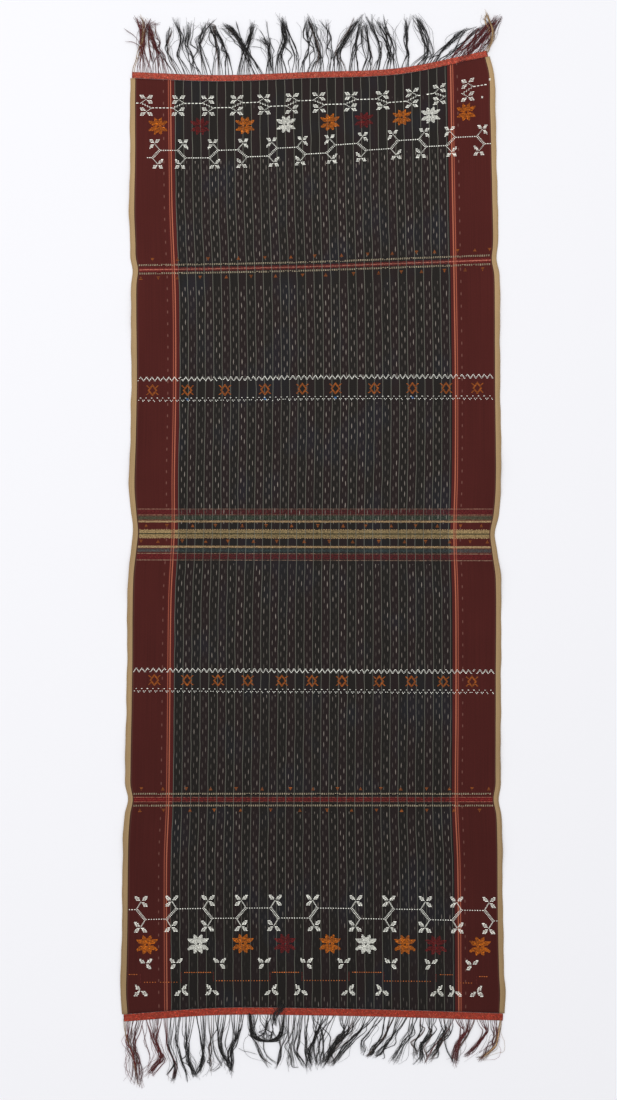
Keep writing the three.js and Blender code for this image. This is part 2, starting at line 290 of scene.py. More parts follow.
# Material graphs.
class Graph:
    """The node graph of one material, written like sums."""

    def __init__(self, name):
        self.material = bpy.data.materials.new(name)
        self.material.use_nodes = True
        self.nodes = self.material.node_tree.nodes
        self.links = self.material.node_tree.links
        self.shader = self.nodes["Principled BSDF"]

    def set(self, socket, value):
        """Link what comes from a node, and write the rest into the socket, a colour by its name."""
        if isinstance(value, bpy.types.NodeSocket):
            self.links.new(value, socket)
        elif socket.type == "RGBA":
            socket.default_value = (*rgb(*COLOURS[value]), 1)
        else:
            socket.default_value = value

    def node(self, kind, inputs=(), **settings):
        made = self.nodes.new("ShaderNode" + kind)
        for name, value in settings.items():
            setattr(made, name, value)
        for name, value in dict(inputs).items():
            self.set(made.inputs[name], value)
        return made

    def sum(self, operation, *values):
        return self.node("Math", enumerate(values), operation=operation).outputs[0]

    def times(self, first, *others):
        for other in others:
            first = self.sum("MULTIPLY", first, other)
        return first

    def scaled(self, value, factor, offset):
        return self.sum("MULTIPLY_ADD", value, factor, offset)

    def off(self, value, middle):
        """How far a value is from a middle, to either side."""
        return self.sum("ABSOLUTE", self.sum("SUBTRACT", value, middle))

    def within(self, value, low, high):
        """1 from low to high and 0 outside."""
        return self.sum("COMPARE", value, (low + high) / 2, (high - low) / 2)

    def between(self, value, low, high):
        """0 below low, 1 above high and even in between; low may be the higher."""
        return self.node("MapRange", {"Value": value, "From Min": low, "From Max": high}).outputs[0]

    def blend(self, share, low, high):
        made = self.node("Mix", data_type="RGBA")
        for number, value in ((0, share), (6, low), (7, high)):
            self.set(made.inputs[number], value)
        return made.outputs[2]

    def tone(self, colour, strength):
        """The colour made darker or lighter by a factor."""
        return self.node("VectorMath", {0: colour, "Scale": strength}, operation="SCALE").outputs[0]

    def vector(self, x, y):
        return self.node("CombineXYZ", enumerate((x, y))).outputs[0]

    def noise(self, vector, detail=2.0, scale=1.0):
        return self.node("TexNoise", {"Vector": vector, "Scale": scale, "Detail": detail}).outputs["Fac"]

    def random(self, x, y):
        """A random number for each whole x and y."""
        made = self.node("TexWhiteNoise", {"Vector": self.vector(x, y)}, noise_dimensions="2D")
        return made.outputs["Value"]

    def stripes(self, place, end, rows):
        """Colour and cover of side-by-side stripes: each row is a start, red, green, blue and its cover."""
        start = rows[0][0]
        made = self.node("ValToRGB", {"Fac": self.between(place, start, end)})
        made.color_ramp.interpolation = "CONSTANT"
        steps = made.color_ramp.elements
        for number, (begin, red, green, blue, cover) in enumerate(rows):
            share = (begin - start) / (end - start)
            step = steps[number] if number < 2 else steps.new(share)
            step.position = share
            step.color = (*rgb(red, green, blue), cover)
        return made.outputs["Color"], made.outputs["Alpha"]

    def dress(self, colour, roughness, specular, sheen=0.0, sheen_roughness=0.5, relief=None):
        """Colour and relief come from the graph, and the rest are constants.

        A relief is its height, strength and depth."""
        self.set(self.shader.inputs["Base Color"], colour)
        if relief:
            bump = self.node("Bump", zip(("Height", "Strength", "Distance"), relief))
            self.set(self.shader.inputs["Normal"], bump.outputs[0])
        self.shader.inputs["Roughness"].default_value = roughness
        self.shader.inputs["Specular IOR Level"].default_value = specular
        self.shader.inputs["Sheen Weight"].default_value = sheen
        self.shader.inputs["Sheen Roughness"].default_value = sheen_roughness
        return self.material


def covering(*rows):
    """Stripes that cover what is under them: each row is a start and a yarn."""
    return [(start, *COLOURS[yarn], 1) for start, yarn in rows]


# The weave as it was set up: warp stripes across, and weft bands down. A row ends where the next one begins.
LEFT_MARGIN = covering(
    (0, "tan"), (10, "dark"), (11.4, "brown"), (13.6, "red"), (74.6, "bright_red"), (77, "orange"),
    (78.6, "gap_red"), (81.2, "pale_orange"), (82.9, "bright_red"),
) + [(89.4, *COLOURS["red"], 0)]
LEFT_END = 95
RIGHT_MARGIN = covering(
    (615.5, "bright_red"), (621, "pale_orange"), (622.9, "gap_red"), (625.4, "orange"), (627, "bright_red"),
    (630.5, "red"), (697, "brown"), (698.6, "dark"), (700, "tan"),
)
ORANGE_STRIPES = ((77, 82.9), (621, 627))
SPECKED_THREADS = (67.6, 635.2)
BAND_REACH = (343.6, 341.8)  # where the weft bands fade out inside the selvedges, from the middle
BARE = (80, 40, 40, 0)
BANDS = (
    (368, (
        (350, *BARE),
        (355.8, 96, 30, 28, 0.75),
        (358.7, 178, 104, 88, 0.78),
        (360.8, 96, 30, 28, 0.75),
        (363.8, *BARE),
    )),
    (922, (
        (818, *BARE),
        (820.2, 168, 128, 108, 0.6),
        (821.4, *BARE),
        (822.4, 86, 29, 31, 0.75),
        (831.6, 160, 130, 105, 0.55),
        (832.8, *BARE),
        (834.2, 104, 112, 88, 0.5),
        (835.3, 52, 68, 54, 0.7),
        (837.3, 92, 112, 86, 0.5),
        (838.6, 52, 68, 54, 0.7),
        (840.3, 104, 112, 88, 0.5),
        (841.4, *BARE),
        (842.9, 178, 152, 112, 0.7),
        (846.6, *BARE),
        (860.7, 152, 131, 92, 0.86),
        (867.5, 40, 48, 34, 1),
        (869.2, 148, 127, 88, 0.86),
        (876.4, *BARE),
        (891.3, 178, 152, 112, 0.7),
        (895.3, *BARE),
        (896.8, 84, 98, 94, 0.5),
        (897.9, 48, 66, 66, 0.7),
        (899.6, 78, 100, 100, 0.55),
        (901, 48, 66, 66, 0.7),
        (902.3, 84, 98, 94, 0.5),
        (903.4, *BARE),
        (905.5, 165, 135, 110, 0.6),
        (906.6, 92, 29, 31, 0.75),
        (916.8, *BARE),
        (918.2, 170, 140, 118, 0.6),
        (919.3, *BARE),
    )),
    (1380, (
        (1355, *BARE),
        (1367.4, 186, 118, 100, 0.55),
        (1368.6, 112, 24, 26, 0.8),
        (1371.6, 150, 60, 52, 0.65),
        (1372.5, 112, 24, 26, 0.8),
        (1375.8, 186, 118, 100, 0.55),
        (1377, *BARE),
    )),
)

# The ikat dashes of the warp: how strong they are from each place down the cloth.
DASH_ZONES = (
    (0, 0), (36, 0.22), (50, 0), (148, 0.8), (342, 0), (388, 0.9), (566, 0), (610, 0.85), (846, 0),
    (922, 0.85), (1124, 0), (1168, 0.85), (1180, 0.7), (1348, 0), (1394, 0.85), (1540, 0.5), (1612, 0.12),
    (1700, 0), (1744, 0.5),
)
LINES_FROM, LINES_TO = 90.5, 612.0
LINE_PITCH = (LINES_TO - LINES_FROM) / 32
DASH_COLUMNS = (5.4, 11.2)  # two from each pale line to the next
DASH_PITCH = 21.0
DASH_LENGTH = 11.0
DASH_WIDTH = 1.35
WAVER = 3.4  # how far the warp wavers from side to side
THREAD = 0.9  # the pitch of the warp's threads
PICK = 1.6 * THREAD
TONE_FROM, TONE_TO = 1.1, 0.76  # at the upper and the lower end


def weave_material():
    """Warp stripes, ikat dashes and weft bands, worked out from the place in the weave."""
    g = Graph("woven_cloth")
    place = g.node("SeparateXYZ", {"Vector": g.node("UVMap", uv_map="Weave").outputs[0]})
    across, down = (g.times(place.outputs[axis], 1 / MM) for axis in "XY")

    def grain(wide, long, detail=2.0):
        """Noise with so many grains a millimetre across and along the cloth."""
        return g.noise(g.vector(g.times(across, wide), g.times(down, long)), detail)

    # The ground: dark zones between the pale lines, greenish and maroon by turns, bluish in clouds.
    warp = g.sum("ADD", across, g.scaled(grain(0.03, 0.02), WAVER, -WAVER / 2))
    cloud = grain(0.012, 0.008)
    from_lines = g.sum("SUBTRACT", warp, LINES_FROM)
    zone = g.times(from_lines, 1 / LINE_PITCH)
    ground = g.blend(g.within(g.sum("WRAP", zone, 2.0, 0.0), 0, 1), "maroon_ground", "green_ground")
    colour = g.blend(g.times(g.between(cloud, 0.52, 0.68), 0.5), ground, "blue_ground")

    # The dashes: two columns in each zone, each dash with its own strength.
    column = g.sum("FLOOR", g.times(zone, 2.0))
    in_zone = g.times(g.sum("FRACT", zone), LINE_PITCH)
    beside = g.times(g.sum("MINIMUM", *(g.off(in_zone, middle) for middle in DASH_COLUMNS)), 2 / DASH_WIDTH)
    stagger = g.sum("ADD", g.times(column, 0.5), g.times(g.random(column, 3.0), 0.3))
    step = g.sum("ADD", g.times(down, 1 / DASH_PITCH), stagger)
    ahead = g.times(g.off(g.sum("FRACT", step), 0.5), 2 * DASH_PITCH / DASH_LENGTH)
    inside = g.between(g.sum("ADD", beside, g.sum("POWER", ahead, 2.0)), 1.25, 0.55)
    strength = g.scaled(g.sum("POWER", g.random(column, g.sum("FLOOR", step)), 1.6), 0.95, 0.2)
    column_strength = g.scaled(g.random(column, 8.0), 0.7, 0.72)
    zone_strength = g.stripes(down, CLOTH_LENGTH, [(begin, 0, 0, 0, cover) for begin, cover in DASH_ZONES])[1]
    dash = g.times(inside, strength, column_strength, zone_strength)

    # The pale warp lines, brighter and fainter on their way.
    line = g.between(g.sum("PINGPONG", from_lines, LINE_PITCH / 2), 0.62, 0.22)
    line = g.times(line, g.scaled(grain(0.07, 0.012), 1.7, 0.1))
    colour = g.blend(line, colour, "pale_line")

    # The red margins, the orange stripes and the tan selvedges.
    left_colour, left_cover = g.stripes(across, LEFT_END, LEFT_MARGIN)
    colour = g.blend(left_cover, colour, left_colour)
    right_colour = g.stripes(across, CLOTH_WIDTH, RIGHT_MARGIN)[0]
    colour = g.blend(g.sum("GREATER_THAN", across, RIGHT_MARGIN[0][0]), colour, right_colour)
    specks = g.times(g.between(g.sum("PINGPONG", down, 11.0), 3.5, 1.5), 0.55)
    for middle in SPECKED_THREADS:
        colour = g.blend(g.times(g.between(g.off(across, middle), 1.3, 0.5), specks), colour, "speck")

    # Weft bands let the warp through: more of the two orange stripes, and nothing covers the selvedges.
    warp_only = colour
    inner = g.between(g.off(across, CLOTH_WIDTH / 2), *BAND_REACH)
    on_ground = g.within(across, LINES_FROM, LINES_TO)
    speckle = grain(0.34, 0.55)
    knots = g.scaled(g.between(grain(0.3, 0.7, 0.0), 0.38, 0.62), 0.85, 0.68)
    for end, rows in BANDS:
        band_colour, band_cover = g.stripes(down, end, rows)
        bare = g.scaled(band_cover, -0.35, g.scaled(on_ground, 0.1, 0.62))
        thick = g.between(g.sum("SUBTRACT", speckle, bare), -0.05, 0.05)
        cover = g.times(band_cover, inner, g.scaled(thick, 0.62, 0.3), g.scaled(on_ground, -0.2, 1.0))
        colour = g.blend(cover, colour, g.tone(band_colour, knots))
    colour = g.blend(g.times(dash, on_ground), colour, "dash")
    for low, high in ORANGE_STRIPES:
        colour = g.blend(g.times(g.within(across, low, high), 0.55), colour, warp_only)
    colour = g.blend(g.times(line, g.within(across, LINES_FROM - 0.5, LINES_TO)), colour, "faded_line")

    # Streaks, flecks and clouds of tone, the fall of tone towards the lower end, and threads as relief.
    fleck = grain(0.9, 0.45, 1.0)
    tone = g.times(g.scaled(grain(0.55, 0.004, 3.0), 0.5, 0.75), g.scaled(fleck, 0.4, 0.8))
    fall = g.scaled(down, (TONE_TO - TONE_FROM) / CLOTH_LENGTH, TONE_FROM)
    tone = g.times(tone, g.scaled(cloud, 0.3, 0.85), fall)
    ribs = g.sum("SINE", g.times(across, 2 * math.pi / THREAD))
    picks = g.sum("SINE", g.times(down, 2 * math.pi / PICK))
    relief = g.scaled(g.times(ribs, picks), 0.5, g.times(fleck, 1.2))
    return g.dress(g.tone(colour, tone), 0.92, 0.12, 0.02, 0.5, (relief, 0.35, 0.0003))


def yarn_material(name, fibre, roughness):
    """Yarn in the tint of its own mesh, with fibres as fine light and dark."""
    g = Graph(name)
    tint = g.node("Attribute", attribute_name="Tint").outputs["Color"]
    hair = g.noise(g.tone(g.node("TexCoord").outputs["Object"], 1 / fibre), 3.0)
    return g.dress(g.tone(tint, g.scaled(hair, 0.9, 0.55)), roughness, 0.25, 0.1, 0.4, (hair, 0.5, 0.0002))


# Meshes.
def make_piece(name, points, faces, material, tints=None):
    """A mesh from points in the tables' millimetres, riding on the part.

    tints are the colours of its points, or of as many equal shares of them."""
    mesh = bpy.data.meshes.new(name)
    mesh.from_pydata(((points + SHIFT) * MM).tolist(), [], faces)
    mesh.polygons.foreach_set("use_smooth", np.ones(len(faces), bool))
    if tints is not None:
        layer = mesh.attributes.new("Tint", "FLOAT_COLOR", "POINT")
        tints = np.repeat(tints, len(points) // len(tints), axis=0)
        layer.data.foreach_set("color", np.hstack([tints, np.ones((len(tints), 1))]).ravel())
    mesh.materials.append(material)
    mesh.update()
    piece = bpy.data.objects.new(name, mesh)
    bpy.context.scene.collection.objects.link(piece)
    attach(piece, "root")
    return piece


def tubes(rings):
    """The points and faces of many closed tubes at once: rings is tube by station by corner by coordinate."""
    count, stations, corners = rings.shape[:3]
    index = np.arange(count * stations * corners).reshape(count, stations, corners)
    turned = np.roll(index, -1, axis=2)
    sides = np.stack([index[:, :-1], turned[:, :-1], turned[:, 1:], index[:, 1:]], axis=-1).reshape(-1, 4)
    ends = np.concatenate([index[:, 0, ::-1], index[:, -1]])
    return rings.reshape(-1, 3), sides.tolist() + ends.tolist()


BAR_STATIONS = table(
    "share inward width height",
    (0, 0, 0.7, 0.05),
    (0, 1, 1, 1),
    (1, -1, 1, 1),
    (1, 0, 0.7, 0.05),
)
BAR_SINK = 0.2
BAR_TAPER = 0.35  # how far in from its ends a bar is at its full height
BAR_TOP = 0.55  # the width of its top, as a share of its width


def bars(starts, ends, widths, heights):
    """Short rounded bars of yarn that lie between two points and dip into the cloth at both."""
    way = ends - starts
    length = np.linalg.norm(way, axis=1)
    taper = (np.minimum(BAR_TAPER, 0.3 * length) / length)[:, None] * way
    way[:, 2] = 0
    way /= np.linalg.norm(way, axis=1)[:, None]
    side = np.stack([-way[:, 1], way[:, 0], np.zeros(len(way))], axis=1)
    rings = []
    sink = np.array([0, 0, -BAR_SINK])
    for share, inward, broad, high in zip(*BAR_STATIONS.values()):
        middle = starts + share * (ends - starts) + inward * taper
        top = (heights * high)[:, None] * np.array([0, 0, 1])
        half = side * (widths * broad / 2)[:, None]
        rings.append(np.stack([
            middle - half + sink,
            middle + half + sink,
            middle + BAR_TOP * half + top,
            middle - BAR_TOP * half + top,
        ], axis=1))
    return tubes(np.stack(rings, axis=1)[:, :, ::-1])


def tinted(yarn, count, spread):
    """A yarn's colour count times, each a little lighter or darker."""
    return rgb(*COLOURS[yarn]) * np.exp(chance.normal(0, spread, (count, 1)))


FLOAT_HEIGHT = 0.45
FLOAT_FILL = 0.74  # how much of its pick a float fills
SHORTEST_ROW = 0.9
CORNERS = ((-1, -1), (-1, 1), (1, -1), (1, 1))


class Inlay:
    """Floats of yarn on top of the cloth, gathered motif by motif and then made into one mesh."""

    def __init__(self):
        self.rows = []  # x from, x to, down, width
        self.tints = []

    def floats(self, x_from, x_to, down, width, yarn, spread=0.14):
        values = [np.atleast_1d(np.asarray(value, float)) for value in (x_from, x_to, down, width)]
        self.rows.append(np.stack(np.broadcast_arrays(*values), axis=1))
        self.tints.append(tinted(yarn, len(self.rows[-1]), spread))

    def leaf(
        self, x, down, lean_x, lean_down, length, width, yarn,
        pick=2.3, peak=0.1, grain=4.4, split=0.7, spread=0.14,
    ):
        """A pointed leaf about its centre, leaning a way, filled with floats a pick apart.

        peak is where it is widest, from -1 at its foot to 1 at its tip. A row is made of floats about grain
        long, split apart."""
        size = math.hypot(lean_x, lean_down)
        lean_x, lean_down = lean_x / size, lean_down / size
        reach = (abs(lean_down) * length + abs(lean_x) * width) / 2
        first = math.ceil((down - reach) / pick)
        last = math.floor((down + reach) / pick)
        trial = np.linspace(-length, length, 81)
        for number in range(first, last + 1):
            off = number * pick - down
            ahead = (trial * lean_x + off * lean_down) / (length / 2)
            beside = np.abs(off * lean_x - trial * lean_down)
            fullness = np.minimum((1 + ahead) / (1 + peak), (1 - ahead) / (1 - peak))
            inside = trial[beside < width / 2 * np.maximum(fullness, 0) ** 0.6]
            if len(inside) > 1 and inside[-1] - inside[0] > SHORTEST_ROW:
                low, high = inside[[0, -1]] + chance.uniform(-0.5, 0.5, 2)
                parts = max(1, round((high - low) / grain))
                cuts = np.linspace(low - split / 2, high + split / 2, parts + 1)
                cuts[1:-1] += chance.uniform(-0.6, 0.6, parts - 1)
                begin, end = x + cuts[:-1] + split / 2, x + cuts[1:] - split / 2
                self.floats(begin, end, down + off, FLOAT_FILL * pick, yarn, spread)

    def line(self, x_from, x_to, down, dash, gap, width, yarn, spread=0.14, skip=0.0):
        """Dashes in a row along the weft; skip is the share of them that is missing."""
        starts = np.arange(x_from, x_to - 0.6 * dash, dash + gap)
        starts = starts[chance.random(len(starts)) >= skip] + chance.uniform(-0.25, 0.25, 1)
        self.floats(starts, starts + dash, down, width, yarn, spread)

    def piece(self, name, material):
        x_from, x_to, down, width = np.concatenate(self.rows).T
        points = []
        for x in (x_from, x_to):
            height = lift(x, down) + CLOTH_THICKNESS
            points.append(np.stack([x, weft_height(x, down), height], axis=1))
        corners, faces = bars(*points, width, np.full(len(down), FLOAT_HEIGHT))
        return make_piece(name, corners, faces, material, np.concatenate(self.tints))


# Motifs. A sprig is three leaves in a cross whose fourth arm is its stem.
def leaf_to(inlay, x, down, tip_x, tip_down, width, yarn="white", foot=0.08, **looks):
    """A leaf from near a point to its tip, which is given from that point; foot is the share left free."""
    middle = (1 + foot) / 2
    length = (1 - foot) * math.hypot(tip_x, tip_down)
    inlay.leaf(x + middle * tip_x, down + middle * tip_down, tip_x, tip_down, length, width, yarn, **looks)


def sprig(inlay, x, down, stem_x, stem_down, tip_x, tip_down, width):
    """stem_x and stem_down say to which side its stem leaves, -1 or 1."""
    for side_x, side_down in CORNERS:
        if (side_x, side_down) != (stem_x, stem_down):
            leaf_to(inlay, x, down, side_x * tip_x, side_down * tip_down, width)


LADDER_WIDTH = 2.4


def ladder(inlay, x_from, down_from, x_to, down_to, pick, yarn="white"):
    """A slanted line of short floats, one above the other."""
    count = max(2, round(abs(down_to - down_from) / pick) + 1)
    x = np.linspace(x_from, x_to, count)
    down = np.linspace(down_from, down_to, count)
    inlay.floats(x - LADDER_WIDTH / 2, x + LADDER_WIDTH / 2, down, 0.6 * pick, yarn)


LINE_WIDTH = 1.9
CORNER_INSET = 1.5  # how far from the corners of its lines a stem or a slant begins
LONGEST_SLANT = 45


def vine(inlay, segments, levels, off, leaf, dash=2.8, gap=1.6):
    """A stepped line with a sprig off each corner: a segment is its level and its ends.

    A segment with a sprig off one corner alone says which. off is how far sprigs stand off their corners,
    across and down, and leaf is how far a leaf reaches, across and down, and its width."""
    corners = []
    for level, begin, end, *only in segments:
        down = levels[level]
        x_from, x_to = column_x((begin, end))
        inlay.line(x_from, x_to, down, dash, gap, LINE_WIDTH, "white")
        outward = -1 if level == "high" else 1
        for x, name, side in ((x_from, "left", -1), (x_to, "right", 1)):
            if not only or name in only:
                centre_x, centre_down = x + side * off[0], down + outward * off[1]
                stem = (x + side * CORNER_INSET, down + outward * CORNER_INSET)
                ladder(inlay, *stem, centre_x - side * 0.5, centre_down - outward * 0.5, 1.9)
                sprig(inlay, centre_x, centre_down, -side, -outward, *leaf)
        corners.append((x_from, x_to, down))
    for (_, x_from, down_from), (x_to, _, down_to) in zip(corners, corners[1:]):
        if x_to - x_from < LONGEST_SLANT and down_to != down_from:
            for side in (-LINE_WIDTH, LINE_WIDTH):
                slant_from, slant_to = x_from + CORNER_INSET + side, x_to - CORNER_INSET + side
                ladder(inlay, slant_from, down_from, slant_to, down_to, 2.3)


STAR_TIPS = ((7.6, 18.5), (20.5, 10.5))
PETAL_WIDTH = 9.0


def star(inlay, column, down, size, yarn):
    """Eight petals about one point."""
    x = float(column_x(column))
    spread = 0.2 if yarn == "white" else 0.34
    for tip_x, tip_down in STAR_TIPS:
        for side_x, side_down in CORNERS:
            leaf_to(
                inlay, x, down, side_x * tip_x * size, side_down * tip_down * size, PETAL_WIDTH * size, yarn,
                foot=0.06, pick=1.5, peak=0.15, grain=3.0, split=0.2, spread=spread,
            )


ROSETTE = {"half_wide": 8.6, "half_high": 11.4, "rim": 3.9, "pick": 1.6}
BARBS_DOWN = (-5.6, 5.2)
BARB_FROM = 7.2
BARB_STEP = 1.5


def rosette(inlay, column, down):
    """A hollow diamond with a barb at each of its four sides."""
    x = float(column_x(column))
    half_wide, half_high, rim, pick = ROSETTE.values()

    def floats(x_from, x_to, at):
        inlay.floats(x_from, x_to, at, 1.3, "dull_orange", 0.2)

    for off in np.arange(-half_high + 0.6, half_high, pick):
        outer = half_wide * (1 - abs(off) / half_high) + 0.7
        if outer < rim:
            floats(x - outer, x + outer, down + off)
        else:
            floats([x - outer, x + outer - rim], [x - outer + rim, x + outer], down + off)
    for side in (-1, 1):
        for off in BARBS_DOWN:
            for step in (0, 1, 2):
                tip = x + side * (BARB_FROM + BARB_STEP * step)
                floats(tip - 1.5, tip + 1.5, down + off + math.copysign(BARB_STEP * step, off))


def triangle(inlay, column, down, points_up):
    """A small stepped triangle."""
    x = float(column_x(column)) + chance.uniform(-0.6, 0.6)
    for step in range(4):
        half = 0.8 + 0.85 * (step if points_up else 3 - step)
        inlay.floats(x - half, x + half, down + (step - 1.5) * 1.6, 1.25, "triangle", 0.3)


def triangle_row(inlay, columns, down, points_up):
    """Triangles that point up and down by turns."""
    for number, column in enumerate(columns):
        triangle(inlay, column, down, points_up == (number % 2 == 0))


BAND_INSET = 12.5


def inner_edges(down):
    """Where the weft's bands begin and end, just inside the selvedges."""
    left, right = selvedges(np.array([float(down)]))
    return left[0] + BAND_INSET, right[0] - BAND_INSET


ZIGZAG_HALF_PERIOD = 5.35
ZIGZAG_HALF_HIGH = 3.3
ZIGZAG_MISSING = 0.06


def zigzag(inlay, down, dotted):
    """A white zigzag right across the cloth, of strokes or of dots."""
    left, right = inner_edges(down)
    reach = 0.9 if dotted else 1.15
    for number, x in enumerate(np.arange(left, right - ZIGZAG_HALF_PERIOD, ZIGZAG_HALF_PERIOD)):
        way = 1 if number % 2 else -1
        for step, share in enumerate((-1, -1 / 3, 1 / 3, 1)):
            if dotted and step in ((1,) if way > 0 else (0, 2)):
                continue
            middle = x + ZIGZAG_HALF_PERIOD * (0.5 + 0.42 * share) + chance.uniform(-0.3, 0.3)
            if chance.random() > ZIGZAG_MISSING:
                at = down + way * share * ZIGZAG_HALF_HIGH
                inlay.floats(middle - reach, middle + reach, at, 1.45, "white")


def beads(inlay, down, yarn="bead", gap=1.6, shift=0.0):
    """Two rows of small beads across the cloth, the second shifted against the first."""
    left, right = inner_edges(down)
    for off, start in ((-0.85, 0.0), (0.85, shift)):
        inlay.line(left + start, right, down + off, 2.6, gap, 1.5, yarn, spread=0.2, skip=0.06)


def pinwheel(inlay, column, down, tips):
    """Three leaves about one point, each given by its tip."""
    x = float(column_x(column))
    for tip_x, tip_down in tips:
        leaf_to(inlay, x, down, tip_x, tip_down, 7.6)


# The rows of motifs, by the photograph's columns.
SMALL_VINE = (
    ("high", 136, 140.8, "right"),
    ("low", 151.8, 172.6),
    ("high", 184.2, 202.2),
    ("low", 213.8, 230.9),
    ("high", 242.5, 258.2),
    ("low", 269.8, 286.2),
    ("high", 297.8, 313.2),
    ("low", 324.8, 345),
    ("high", 356.6, 376.9),
    ("low", 388.5, 406.2),
    ("high", 417.8, 421, "left"),
    ("high", 426.6, 433.7, "right"),
    ("low", 445, 446, "left"),
    ("low", 461, 462, "right"),
    ("high", 473.2, 487.7, "left"),
)
UPPER_VINE = (
    ("low", 147, 152, "right"),
    ("high", 160.3, 177.2),
    ("low", 186, 209),
    ("high", 218.6, 237.3),
    ("low", 247.5, 268),
    ("high", 277.5, 296.7),
    ("low", 306, 326),
    ("high", 335.5, 357),
    ("low", 366.8, 390.4),
    ("high", 398.6, 418.4),
    ("low", 426.7, 445.8),
    ("high", 455.4, 476.5),
    ("low", 484.7, 491, "left"),
)
LOWER_VINE = (
    ("high", 129, 136, "right"),
    ("low", 145.7, 166),
    ("high", 177, 203),
    ("low", 212.7, 236),
    ("high", 246.5, 270),
    ("low", 279, 309),
    ("high", 317.7, 350.8),
    ("low", 360.4, 384.6),
    ("high", 394, 420.3),
    ("low", 430, 452),
    ("high", 461.8, 484),
    ("low", 493.7, 498, "left"),
)
UPPER_STARS = (
    (158, "motif_orange"), (200, "motif_red"), (245, "motif_orange"), (286, "white"), (330, "motif_orange"),
    (364, "motif_red"), (402, "motif_orange"), (430.5, "white"), (466, "motif_orange"),
)
LOWER_STARS = (
    (147, "motif_orange"), (198, "white"), (243, "motif_orange"), (285, "motif_red"), (330, "motif_orange"),
    (366, "white"), (405, "motif_orange"), (436, "motif_red"), (480, "motif_orange"),
)
TRIANGLES = {
    "first_above": (
        152.5, 177.4, 208, 238.4, 264.8, 290.7, 314.5, 341.5, 367.4, 392, 416.5, 434.4, 457.3, 474.5, 489.8,
    ),
    "first_below": (
        141, 158.3, 177.4, 200.4, 226.5, 251.4, 275.6, 302.4, 325.6, 353.4, 378.5, 401.5, 421.6, 444.6, 465,
        482.4,
    ),
    "middle_above": (
        146, 167, 193, 215.7, 242, 266.3, 291.6, 317.8, 343.2, 365.7, 391.2, 415.6, 437.3, 460.5, 481.2,
    ),
    "middle_below": (
        141, 158.3, 182, 205.6, 227.8, 253.3, 277, 304.3, 329, 353, 378.5, 404.4, 425.4, 449.7, 470, 487.3,
    ),
    "last_above": (
        141.5, 163, 186, 210.5, 236.3, 262, 290.5, 313.2, 337.4, 360.4, 380.5, 400.8, 426.7, 449.3, 472,
        488.6,
    ),
    "last_below": (
        139.6, 163.6, 190, 214, 240.7, 270.7, 300, 327.2, 351.5, 376.7, 401.5, 426.7, 454, 479.6,
    ),
}
UPPER_ROSETTES = (152.5, 187.6, 225, 265, 302.4, 335.5, 374.2, 412.4, 446.1, 477.3)
LOWER_ROSETTES = (154.4, 187.2, 218, 247.8, 281.8, 312, 342, 379.3, 411.4, 443.3, 472)
UPPER_PINWHEELS = (  # each with the side of its third leaf
    (145.7, 1), (176, -1), (219.7, 1), (264.3, -1), (306.4, 1), (343.8, -1), (391, 1), (431, -1), (472, -1),
)
LOWER_PINWHEELS = (140.6, 181.4, 212, 271.4, 300.7, 348.3, 382, 437, 454.8, 476.5)
ORANGE_DASHES = (
    (129, 137, 1704.5), (184, 211, 1701), (272, 300, 1701), (352, 383, 1700.5), (440, 454, 1703.5),
    (479, 488, 1706),
)
ORANGE_DOTS = ((144, 178, 1719.5), (216, 268, 1717), (304, 346, 1716.5), (384, 432, 1717), (460, 474, 1719))
LOOSE_STITCHES = ((482, 64), (489.7, 36.5))
BLUE_SPOTS = (187.4, 265, 335.5, 412.4)

yarn_floats = yarn_material("inlay_yarn", 0.0006, 0.85)

upper = Inlay()
vine(upper, SMALL_VINE, {"high": 44, "low": 52.7}, off=(10.4, 7.2), leaf=(12.4, 7.2, 7.4), dash=4.6, gap=2.4)
for column, down in LOOSE_STITCHES:
    upper.floats(column_x(column) - 1.6, column_x(column) + 1.6, (down - 0.9, down + 0.9), 1.6, "white")
for column, yarn in UPPER_STARS:
    star(upper, column, 87.4, 0.88, yarn)
vine(upper, UPPER_VINE, {"high": 131.9, "low": 146}, off=(11, 12.2), leaf=(9.8, 9, 6.8))
triangle_row(upper, TRIANGLES["first_above"], 340.5, False)
triangle_row(upper, TRIANGLES["first_below"], 375.6, True)
for down in (351, 367):
    beads(upper, down)

middle = Inlay()
for columns, strokes_down, centre, dots_down in (
    (UPPER_ROSETTES, 566.6, 588.4, 606.7),
    (LOWER_ROSETTES, 1128.6, 1147.6, 1167),
):
    zigzag(middle, strokes_down, False)
    zigzag(middle, dots_down, True)
    for column in columns:
        rosette(middle, column, centre)
for column in BLUE_SPOTS:
    spot = float(column_x(column))
    middle.floats([spot - 2.4, spot - 1.2], [spot + 1.8, spot + 2.4], [605.2, 607.4], 1.6, "motif_blue")
for down in (844.8, 893.3):
    beads(middle, down, yarn="fringe_tan", gap=0.9, shift=1.7)
for number, down in enumerate((860.3, 877)):
    left, right = inner_edges(down)
    middle.line(left + number, right, down, 2.6, 2.0, 1.4, "fringe_tan", spread=0.15, skip=0.1)
triangle_row(middle, TRIANGLES["middle_above"], 853, True)
triangle_row(middle, TRIANGLES["middle_below"], 883, False)
for down in (1361.4, 1383.6):
    beads(middle, down)
triangle_row(middle, TRIANGLES["last_above"], 1352, False)
triangle_row(middle, TRIANGLES["last_below"], 1392.7, True)

